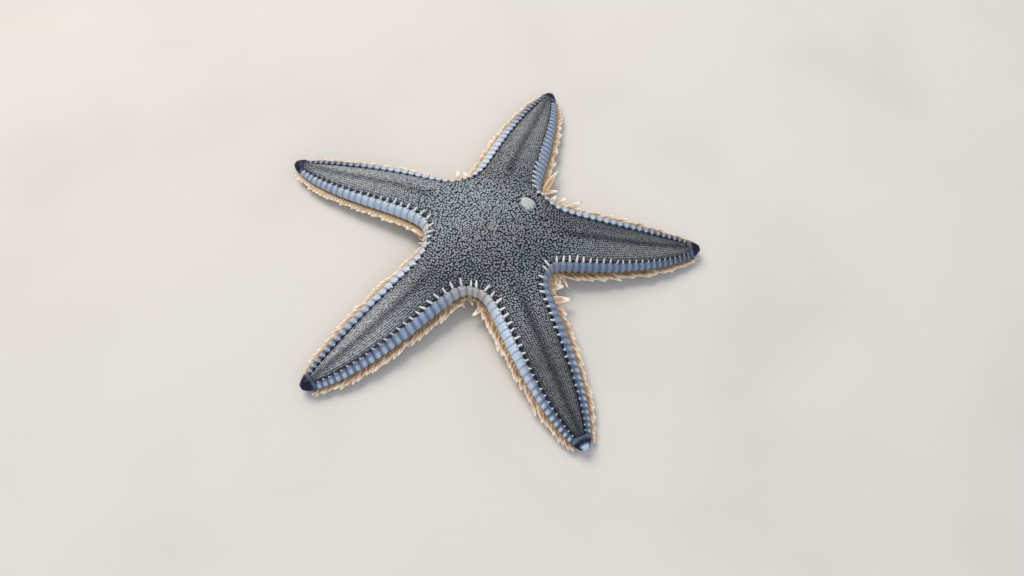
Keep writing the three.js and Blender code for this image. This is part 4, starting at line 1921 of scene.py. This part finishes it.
@dataclass
class LowerPlates:
    """Lower border plates of one arm, from under the upper row down to the floor.

    Flat scales like roof tiles cover their sloping outer side.
    """

    SCALE_PROFILE = [(0.7, 0.0), (1.0, 0.45), (0.75, 0.85), (0.0, 1.0)]

    star: Star
    arm: Arm
    plates: Material
    tiles: Material
    half_groove: float = 0.04
    scales_up: int = 3
    scales_across: int = 3
    scale_length: float = 0.62
    sunk: float = 0.1
    seed: int = 70

    def scales(self, margin: Margin, joined: Joined, random: np.random.Generator) -> None:
        """Adds the scales of one row.

        Args:
            margin: The row's margin.
            joined: Takes the scales.
            random: Varies them.
        """
        shape = turned(self.SCALE_PROFILE, 6)
        count = FORM.plates_per_row * self.scales_across
        for level in range(self.scales_up):
            rise = (level + 0.75) / (self.scales_up + 0.5)
            at = margin.stations(margin.plate_share((np.arange(count) + 0.5) / self.scales_across))
            out = blend(-FORM.lower_plate_slope, 0.02, rise) * at.scale
            outward = upright(at.outward, 0.0)
            slope = unit(outward * 0.75 + UP * 0.55 + upright(at.along, 0.0) * 0.35)
            direction = unit(slope + outward * 0.3 + 0.1 * random.standard_normal((count, 3)))
            root = at.at(out - self.sunk, rise * at.ambitus * 0.85)
            across = at.scale * random.uniform(0.17, 0.22, count)
            length = self.scale_length * at.scale * random.uniform(0.85, 1.1, count)
            sizes = columns(across, 0.3 * across, length)
            points = shape.copies(root, axes_along(direction, upright(at.along, 0.0)), sizes)
            joined.add(shape, points, {"pale": random.uniform(0.85, 1.1, count)})

    def build(self) -> None:
        """Builds both rows."""
        shape = cushion(3, 5)
        blocks, tiles = Joined(self.star), Joined(self.star)
        x, y, z = shape.points.T
        random = self.arm.random(self.seed)
        for margin, _ in self.star.rows(self.arm):
            self.scales(margin, tiles, random)
            for plate in range(FORM.plates_per_row):
                first, last = margin.plate_share(np.array([plate, plate + 1])) * margin.length
                middle, half = (first + last) / 2, (last - first) / 2 - self.half_groove
                at = margin.stations((middle + x * half) / margin.length)
                out, up = (y + 1) / 2, (z + 1) / 2
                inner = blend(-FORM.lower_plate_width * at.scale, -at.width, up)
                outer = blend(-FORM.lower_plate_slope, 0.05, up) * at.scale
                points = at.at(blend(inner, outer, out), blend(0.0, at.ambitus - 0.05, up))
                blocks.add(shape, points[None], {})
        nodes = [f"lower_plates_{self.arm.name}_{side.name.lower()}" for side in Side]
        blocks.piece(f"border_plates_lower_{self.arm.name}", self.plates, "lower_plates", nodes)
        tiles.piece(f"border_scales_{self.arm.name}", self.tiles, "lower_plates")


@dataclass(frozen=True)
class BladeSet:
    """One set of fringe blades and how it lies.

    Start is the first blade's place on its plate, turn an angle added to the splay, length a
    share of the full length, and level the roots' share of the seam's height. Dusk is how much
    a shaded row darkens it, shade how dark it is anyway, and across its place in the bake.
    """

    per_plate: int
    start: float
    turn: float
    length: float
    dip: float
    level: float
    dusk: float
    shade: float
    across: float


@dataclass
class Fringe:
    """Flat fringe spines of one arm's lower border plates.

    The blades point along the arm and lap over each other. Their outer rims make the fringe's
    pale edge. Under them lies a second, shorter set.
    """

    SETS = (
        BladeSet(1, 0.9, 5.0, 0.7, -0.23, 0.62, dusk=0.35, shade=0.12, across=0.23),
        BladeSet(2, 0.5, 0.0, 1.0, -0.13, 0.8, dusk=0.22, shade=0.0, across=0.18),
    )
    PROFILE = [(0.6, 0.0), (0.9, 0.2), (1.0, 0.45), (0.85, 0.72), (0.5, 0.92), (0.0, 1.0)]

    star: Star
    arm: Arm
    material: Material
    length: float = 2.55
    width: float = 0.34
    thickness: float = 0.07
    turn_spread: float = 5.0
    arc_turn: float = 9.0
    full_angle: float = 28.0
    least_angle: float = 20.0
    roll: float = 0.2
    bare_share: float = 0.55
    seed: int = 90

    def blade(self) -> Shape:
        """Flat blade along +Z.

        Returns:
            The blade, whose rim runs from -1 on the inner edge to 1 on the outer edge.
        """
        shape = turned(self.PROFILE, 10)
        radius, height = np.array(self.PROFILE).T
        shape.values["rim"] = -shape.points[:, 0] / np.interp(shape.points[:, 2], height, radius + 1e-3)
        return shape

    def row(self, margin: Margin, joined: Joined, random: np.random.Generator, blades: BladeSet) -> None:
        """Adds one set of blades along one side of the arm.

        Args:
            margin: The side's margin.
            joined: Takes the blades.
            random: Varies them.
            blades: The set.
        """
        shape = self.blade()
        count = FORM.plates_per_row * blades.per_plate
        at = margin.stations(margin.plate_share((np.arange(count) + blades.start) / blades.per_plate))
        style = self.star.STYLES[margin.arm.name, margin.side]
        near = bell(at.distance - margin.arc.bare, 2.0)
        turn = style.splay + blades.turn + self.arc_turn * near
        turn = np.radians(turn + self.turn_spread * random.standard_normal(count))[:, None]
        steepness = np.sin(np.maximum(turn[:, 0], math.radians(self.least_angle)))
        outreach = style.reach * math.sin(math.radians(self.full_angle)) / steepness
        length = self.length * at.scale * random.uniform(0.72, 1.14, count) * np.minimum(outreach, 1.1)
        distal, outward = upright(at.along, 0.0), upright(at.outward, 0.0)
        dip = blades.dip + 0.02 * random.standard_normal(count)
        direction = unit(distal * np.cos(turn) + outward * np.sin(turn) + UP * dip[:, None])
        root = at.at(0.12 * at.scale - 0.1, at.ambitus * blades.level)
        flat = unit(np.cross(direction, UP) * margin.side.value + UP * self.roll)
        sizes = columns(self.width * at.scale, self.thickness, length * blades.length)
        points = shape.copies(root, axes_along(direction, flat), sizes)
        shade = 1 - blades.dusk * style.dusk - blades.shade
        values = {
            "pale": random.uniform(0.82, 1.06, count) * shade,
            "creamy": np.clip(random.uniform(0.85, 1.1, count), 0, 1),
            "tawny": np.clip(style.tawny * random.uniform(0.7, 1.2, count), 0, 1),
        }
        across = 0.5 + margin.side.value * blades.across
        roots = columns(0.03 + 0.94 * at.distance / margin.length, across)
        keep = at.distance > margin.arc.bare * self.bare_share
        joined.add(shape, points[keep], {name: each[keep] for name, each in values.items()}, roots[keep])

    def build(self) -> None:
        """Builds both sides."""
        joined = Joined(self.star)
        random = self.arm.random(self.seed)
        for margin, _ in self.star.rows(self.arm):
            for blades in self.SETS:
                self.row(margin, joined, random, blades)
        joined.piece(f"fringe_{self.arm.name}", self.material, "lower_plates")


@dataclass
class ArcSpines:
    """The splayed, pointed fringe spines in the arcs between the arms.

    Each starts at a hidden length behind its own place, under the plates.
    """

    PROFILE = [(0.7, 0.0), (1.0, 0.25), (0.92, 0.5), (0.55, 0.8), (0.0, 1.0)]

    star: Star
    material: Material
    level: float = 2.45
    dip: float = -0.12
    thickness: float = 0.12
    hidden: float = 0.9
    seed: int = 7

    def build(self) -> None:
        """Builds the spines of all five arcs."""
        shape = turned(self.PROFILE, 10)
        shape.values["rim"] = np.abs(shape.points[:, 0]) * 0.8
        joined = Joined(self.star)
        random = np.random.default_rng(self.seed)
        for arc in self.star.ARCS:
            for spike in arc.spikes:
                along = heading_vector(spike.heading)
                direction = unit(np.array([*along, self.dip + 0.05 * random.standard_normal()]))[None]
                root = np.array([[*(np.array(spike.root) - self.hidden * along), self.level]])
                flat = np.cross(direction, UP) + 0.2 * random.standard_normal((1, 3))
                sizes = np.array([[spike.width, self.thickness, spike.length + self.hidden]])
                points = shape.copies(root, axes_along(direction, flat), sizes)
                whole = ease(0.42, 0.66, shape.values["rise"]) * spike.white
                rim = np.maximum(shape.values["rim"], whole)[None]
                joined.add(shape, points, {"pale": [1.0], "creamy": [1.0], "tawny": [0.75], "rim": rim})
        joined.piece("arc_spines", self.material, "lower_plates")


@dataclass
class EndPlate:
    """Rounded plate that closes an arm, with a dent in its end."""

    star: Star
    arm: Arm
    material: Material
    dent: float = 0.08
    overlap: float = 0.75
    proud: float = 0.12
    fall: float = 0.3

    def build(self) -> None:
        """Builds the plate."""
        shape = cushion(8, 2.3)
        x, y, z = shape.points.T
        share = np.clip((x + 1) / 2 - self.dent * bell(y, 0.35) * ease(0.3, 1, x), 0, 1)
        t = 1 - (FORM.tip_length + self.overlap) * (1 - share) / self.arm.length
        half = np.sqrt(self.arm.half(t) ** 2 + FORM.tip_end_half_width**2)
        aside = left_of(self.arm.tangent(t)) * (y * half)[:, None]
        crown = self.arm.height(t) + self.proud - self.fall * np.abs(y) ** 2
        level = blend(blend(0.45, 0.9, share**2), crown, (z + 1) / 2)
        points = upright(self.arm.line(t) + aside, level)
        begin = 1 - self.arm.cap / (FORM.tip_length + self.overlap)
        shape.values["cap"] = ease(begin - 0.04, begin + 0.06, share - 0.1 * y**2)
        shape.values["side"] = np.abs(y)
        shape.values["bleach"] = ease(0.62, 0.72, share) * ease(0.75, 0.5, np.abs(y)) * self.arm.light_end
        joined = Joined(self.star)
        joined.add(shape, points[None], {})
        name = self.arm.name
        joined.piece(f"end_plate_{name}", self.material, "tip_plates", [f"tip_plate_{name}"])


@dataclass
class SievePlate:
    """Sieve plate (madreporite): a low button with fine winding grooves."""

    PLACE = (5.13, 5.33)

    star: Star
    material: Material
    heading: float = 40.0
    lean: float = 14.0
    radii: tuple[float, float, float] = (1.25, 1.42, 0.52)
    level: float = 5.25
    furrow_pitch: float = 9.0
    furrow_depth: float = 0.055
    winding: float = 2.2
    lobe_depth: float = 0.06

    def build(self) -> None:
        """Builds the button."""
        bm = bmesh.new()
        bmesh.ops.create_uvsphere(bm, u_segments=40, v_segments=20, radius=1)
        shape = Shape.from_bmesh(bm)
        x, y, z = shape.points.T
        furrow = np.cos(self.furrow_pitch * x + self.winding * np.sin(4 * y)) * np.maximum(z, 0)
        lobe = 1 + self.lobe_depth * np.cos(3 * np.arctan2(y, x) + 1)
        shape.points = np.stack([x * lobe, y * lobe, z + self.furrow_depth * furrow], axis=-1)
        shape.values["furrow"] = 0.5 - 0.5 * furrow
        tilt = math.radians(self.lean)
        aside = heading_vector(self.heading)
        along = np.array([*aside * math.sin(tilt), math.cos(tilt)])
        axes = axes_along(along, np.array([*aside, 0.0]))[None]
        place = np.array([[*self.PLACE, self.level]])
        joined = Joined(self.star)
        joined.add(shape, shape.copies(place, axes, np.array([self.radii])), {})
        joined.piece("sieve_button", self.material, "sieve_plate", ["sieve_plate"])


# ---------------- the mouth side


@dataclass
class GrooveSpines:
    """Small plates along each arm's groove, with the spines that close over it."""

    THORN = [(1.0, 0.0), (0.9, 0.5), (0.5, 0.9), (0.0, 1.0)]
    # For each spine of a plate: how far it leans inwards, drops, and stands out from the edge.
    STANCES = ((1.0, 0.25, -0.2), (-0.8, 0.3, 0.15))

    star: Star
    plates: Material
    spines: Material
    pitch: float = 0.62
    first: float = 3.3
    last: float = 2.4
    plate_size: tuple[float, float, float] = (0.27, 0.42, 0.3)
    plate_level: float = 0.5
    spine: float = 0.95
    thickness: float = 0.085
    root_level: float = 0.36
    clear: float = 0.06
    fan_lean: float = 0.35
    fan_spread: float = 0.13
    seed: int = 21

    def sides(self, arm: Arm) -> list[tuple[Array, Array, Array, Array]]:
        """Edge points, outward and along directions, and sizes for both sides of a groove.

        Args:
            arm: The arm.

        Returns:
            For each side the four arrays.
        """
        found = []
        t = np.arange(self.first / arm.length, 1 - self.last / arm.length, self.pitch / arm.length)
        scale, along = arm.scale(t), arm.tangent(t)
        width = FORM.groove_width(scale) + FORM.groove_edge_width
        for side in Side:
            outward = left_of(along) * side.value
            found.append((arm.line(t) + outward * width[:, None], outward, along, scale))
        return found

    def build(self) -> None:
        """Builds plates and spines of all arms."""
        block, thorn = cushion(2, 3.5), turned(self.THORN, 6)
        blocks, thorns = Joined(self.star), Joined(self.star)
        random = np.random.default_rng(self.seed)
        for arm in self.star.ARMS:
            for edge, outward, along, scale in self.sides(arm):
                count = len(edge)
                out, on = upright(outward, 0.0), upright(along, 0.0)
                axes = np.stack([on, np.cross(UP, on), np.broadcast_to(UP, on.shape)], axis=-2)
                sizes = np.array(self.plate_size) * np.clip(scale, 0.5, 1)[:, None]
                blocks.add(block, block.copies(upright(edge, self.plate_level), axes, sizes), {})
                for fan, (inwards, drop, root_out) in product((-1, 0, 1), self.STANCES):
                    direction = -out * inwards - UP * drop + on * (self.fan_lean * fan)
                    direction = unit(direction + 0.1 * random.standard_normal((count, 3)))
                    plan = edge + outward * root_out + along * (self.fan_spread * fan)
                    length = self.spine * np.clip(scale, 0.4, 1) * random.uniform(0.85, 1.1, count)
                    room = (self.root_level - self.clear) / np.maximum(-direction[:, 2], 0.05)
                    size = columns(self.thickness, self.thickness, np.minimum(length, room))
                    root = upright(plan, self.root_level)
                    points = thorn.copies(root, axes_along(direction, on), size)
                    thorns.add(thorn, points, {"pale": random.uniform(0.85, 1.0, count)})
        blocks.piece("groove_plates", self.plates, "lower_plates")
        thorns.piece("groove_spines", self.spines, "cream_spines")


@dataclass
class OralPlates:
    """Small plates that pave the underside between the groove and the lower border plates.

    They lie in rows along the groove, and each carries a few blunt granules.
    """

    GRANULE = [(1.0, 0.0), (1.0, 0.6), (0.0, 1.0)]

    star: Star
    plates: Material
    granules: Material
    pitch: float = 0.66
    rows: int = 12
    first: float = 3.2
    last_share: float = 0.75
    plate_gap: float = 0.32
    mouth_clear: float = 3.6
    edge_clear: float = 0.3
    plate_size: tuple[float, float, float] = (0.31, 0.3, 0.16)
    level: float = 0.3
    granule_length: float = 0.16
    granule_level: float = 0.22
    granule_away: float = 0.16
    granule_headings: tuple[float, ...] = (20.0, 140.0, 260.0)
    seed: int = 29

    def places(self) -> Array:
        """Lays the plates out in rows beside the grooves.

        Returns:
            The plates' plan points.
        """
        found = []
        for i, arm in enumerate(self.star.ARMS):
            t = np.arange(self.first / arm.length, self.last_share, self.pitch / arm.length)
            near = FORM.groove_width(arm.scale(t)) + FORM.groove_edge_width
            near = near + self.plate_size[1] + self.plate_gap
            for side, row in product(Side, range(self.rows)):
                outward = left_of(arm.tangent(t)) * side.value
                plan = arm.line(t) + outward * (near + row * self.pitch)[:, None]
                found.append(plan[self.star.arm_coordinates(plan)[0] == i])
        plan = np.concatenate(found)
        plan = plan[np.linalg.norm(plan, axis=1) > self.mouth_clear]
        inner = self.star.outline(lambda at: -FORM.lower_plate_width * at.scale - self.edge_clear)
        return plan[inside_outline(plan, inner)]

    def build(self) -> None:
        """Builds the plates and their granules."""
        random = np.random.default_rng(self.seed)
        plan = self.places()
        count = len(plan)
        block, bead = cushion(2, 3.0), turned(self.GRANULE, 6)
        axes = np.broadcast_to(np.diag([1.0, -1.0, -1.0]), (count, 3, 3))
        sizes = np.array(self.plate_size) * random.uniform(0.85, 1.05, (count, 1))
        blocks, beads = Joined(self.star), Joined(self.star)
        blocks.add(block, block.copies(upright(plan, self.level), axes, sizes), {})
        for heading in self.granule_headings:
            away = self.granule_away * heading_vector(heading)
            root = upright(plan + away + 0.03 * random.standard_normal((count, 2)), self.granule_level)
            thick = random.uniform(0.07, 0.1, count)
            points = bead.copies(root, axes, columns(thick, thick, self.granule_length))
            beads.add(bead, points, {"pale": random.uniform(0.85, 1.0, count)})
        blocks.piece("oral_plates", self.plates, "lower_plates")
        beads.piece("oral_granules", self.granules, "cream_spines")


@dataclass
class TubeFeet:
    """Pointed tube feet in two rows along each groove, drawn in and curled as in a live animal."""

    PROFILE = [(1.0, 0.0), (0.85, 0.35), (0.95, 0.6), (0.6, 0.85), (0.0, 1.0)]

    star: Star
    material: Material
    pitch: float = 1.1
    first: float = 3.6
    last: float = 3.2
    radius: float = 0.24
    aside: float = 0.42
    sunk: float = 0.1
    swing: float = 0.3
    seed: int = 33

    def build(self) -> None:
        """Builds the feet of all arms."""
        foot = turned(self.PROFILE, 8)
        joined = Joined(self.star)
        random = np.random.default_rng(self.seed)
        for arm in self.star.ARMS:
            t = [self.first / arm.length]
            while t[-1] < 1 - self.last / arm.length:
                t.append(t[-1] + self.pitch * float(arm.scale(np.array(t[-1]))) / arm.length)
            t = np.array(t)
            count = len(t)
            scale, roof = arm.scale(t), FORM.underside + FORM.groove_roof_share * arm.height(t)
            for side in Side:
                outward = left_of(arm.tangent(t)) * side.value
                root = upright(arm.line(t) + outward * (self.aside * scale)[:, None], roof + self.sunk)
                direction = unit(upright(self.swing * random.standard_normal((count, 2)), -1.0))
                length = (roof - self.sunk) * random.uniform(0.55, 0.92, count)
                thick = self.radius * scale
                axes = axes_along(direction, upright(arm.tangent(t), 0.0))
                points = foot.copies(root, axes, columns(thick, thick, length))
                joined.add(foot, points, {"pale": random.uniform(0.9, 1.0, count)})
        joined.piece("tube_feet", self.material, "cream_spines")


@dataclass
class Mouth:
    """Five jaws round the mouth, each a pair of ridged plates edged with spines."""

    THORN = [(1.0, 0.0), (0.9, 0.5), (0.45, 0.9), (0.0, 1.0)]

    star: Star
    plates: Material
    spines: Material
    headings: tuple[float, ...] = (47.0, 119.0, 191.0, 263.0, 335.0)
    reach: tuple[float, float] = (0.7, 3.0)
    half_width: tuple[float, float] = (0.16, 0.55)
    height: float = 1.3
    slit: float = 0.02
    lift: float = 0.25
    thorns: int = 7
    thorn_radius: float = 0.09
    thorn_length: tuple[float, float] = (0.95, 0.6)
    thorn_aside: float = 1.7
    thorn_level: float = 0.5
    thorn_dip: float = -0.18

    def build(self) -> None:
        """Builds the jaws and their spines."""
        block, thorn = cushion(5, 4.0), turned(self.THORN, 6)
        jaws, thorns = Joined(self.star), Joined(self.star)
        x, y, z = block.points.T
        share, step = (x + 1) / 2, np.linspace(0.05, 0.9, self.thorns)
        half = blend(*self.half_width, share)
        level = blend(0.0, self.height, (z + 1) / 2) + self.lift * (1 - share) * (1 - z) / 2
        sizes = columns(self.thorn_radius, self.thorn_radius, blend(*self.thorn_length, step))
        for heading, side in product(self.headings, Side):
            along, outward = heading_vector(heading), heading_vector(heading + 90) * side.value
            plan = np.multiply.outer(blend(*self.reach, share), along)
            plan = plan + np.multiply.outer(half + self.slit + y * half, outward)
            jaws.add(block, upright(plan, level)[None], {})
            root = np.multiply.outer(blend(*self.reach, step), along)
            root = root + np.multiply.outer(blend(*self.half_width, step) * self.thorn_aside, outward)
            direction = -along * 0.8 + outward * blend(0.1, 1.1, step)[:, None]
            axes = axes_along(unit(upright(direction, self.thorn_dip)), UP)
            points = thorn.copies(upright(root, self.thorn_level), axes, sizes)
            thorns.add(thorn, points, {"pale": np.full(self.thorns, 0.95)})
        jaws.piece("jaws", self.plates, "cream_spines", ["mouth_frame"])
        thorns.piece("jaw_spines", self.spines, "cream_spines")


# ---------------- stage


@dataclass
class Stage:
    """Pale floor, soft daylight from the upper left and the camera."""

    star: Star
    focal_mm: float = 25.24
    sensor_mm: float = 36.0
    elevation: float = 64.86
    roll: float = 6.5
    distance: float = 110.83
    target: tuple[float, float] = (4.240, -6.774)

    def camera(self) -> None:
        """Places the camera at its viewing angle."""
        data = bpy.data.cameras.new("camera")
        data.lens = self.focal_mm
        data.sensor_width = self.sensor_mm
        data.clip_start = 0.005
        data.clip_end = 20
        camera = bpy.data.objects.new("camera", data)
        bpy.context.scene.collection.objects.link(camera)
        tilt, roll = math.radians(self.elevation), math.radians(self.roll)
        forward = Vector((0, math.cos(tilt), -math.sin(tilt)))
        right, up = Vector((1, 0, 0)), Vector((0, math.sin(tilt), math.cos(tilt)))
        image_right = math.cos(roll) * right + math.sin(roll) * up
        image_up = -math.sin(roll) * right + math.cos(roll) * up
        turn = Matrix((image_right, image_up, -forward)).transposed().to_4x4()
        target = Vector(self.star.placed(np.array([*self.target, 0.0])))
        camera.matrix_world = Matrix.Translation(target - forward * self.distance * MM) @ turn
        bpy.context.scene.camera = camera

    def floor(self) -> None:
        """A wide pale floor under the star."""
        bm = bmesh.new()
        bmesh.ops.create_grid(bm, x_segments=2, y_segments=2, size=3)
        mesh = bpy.data.meshes.new("floor")
        bm.to_mesh(mesh)
        bm.free()
        paper = PlainCalcite(
            name="pale_floor", roughness=0.85, main="#d8d4cd", fleck="#d2cec7", fleck_mm=30.0, grain_mm=3.0
        )
        mesh.materials.append(paper.material())
        floor = bpy.data.objects.new("floor", mesh)
        bpy.context.scene.collection.objects.link(floor)

    def light(
        self, name: str, place: tuple[float, float, float], size: float, power: float, tint: str
    ) -> None:
        """Adds a square soft light that faces the star.

        Args:
            name: The light's name.
            place: Where it hangs, in metres.
            size: Its side, in metres.
            power: Its power, in watts.
            tint: Its colour, a hex code.
        """
        data = bpy.data.lights.new(name, "AREA")
        data.size = size
        data.energy = power
        data.color = linear(tint)[:3]
        lamp = bpy.data.objects.new(name, data)
        lamp.location = place
        lamp.rotation_euler = (-Vector(place)).to_track_quat("-Z", "Y").to_euler()
        bpy.context.scene.collection.objects.link(lamp)

    def build(self) -> None:
        """Builds camera, floor, lights and sky."""
        self.camera()
        self.floor()
        self.light("key", (-0.28, 0.34, 0.5), 0.4, 3.8, "#fff6ea")
        self.light("fill", (0.35, -0.45, 0.45), 0.6, 1.2, "#e9f1ff")
        world = bpy.data.worlds.new("sky")
        world.use_nodes = True
        world.node_tree.nodes["Background"].inputs["Color"].default_value = linear("#dfe7f2")
        world.node_tree.nodes["Background"].inputs["Strength"].default_value = 0.6
        bpy.context.scene.world = world
        bpy.context.scene.view_settings.view_transform = "Standard"


def main() -> None:
    """Builds the star piece by piece."""
    star = Star()
    Stage(star).build()
    markings_and_shade = MarkingsAndShade(star)
    skin = Skin(star, markings_and_shade, DampSkin().material())
    skin.build()
    plate = PlateCalcite().material()
    spine = SpineCalcite().material()
    straw = SpineCalcite(name="straw_spine_calcite", root="#c9a877", tip="#f0dfc0").material()
    tan = PlainCalcite().material()
    blade = FringeCalcite().material()
    shell = EndShell().material()
    papilla = SpineCalcite(name="papilla_skin", root="#7c7f7a", tip="#b3b6af").material()
    foot = SpineCalcite(name="tube_foot_flesh", root="#d9c9a6", tip="#efe6cf", subsurface=0.4).material()
    parts = [KnobField(star, markings_and_shade, skin, KnobCalcite().material()), CentreTuft(star, skin, papilla)]
    for arm in star.ARMS:
        parts += [
            UpperPlates(star, arm, plate),
            UpperSpines(star, arm, spine),
            LowerPlates(star, arm, tan, straw),
            Fringe(star, arm, blade),
            EndPlate(star, arm, shell),
        ]
    parts += [
        ArcSpines(star, blade),
        SievePlate(star, SieveStone().material()),
        GrooveSpines(star, tan, straw),
        OralPlates(star, tan, straw),
        TubeFeet(star, foot),
        Mouth(star, tan, straw),
    ]
    for part in parts:
        part.build()
    log.info("built %d sub-assemblies", len(parts) + 1)
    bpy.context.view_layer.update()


if __name__ == "__main__":
    main()
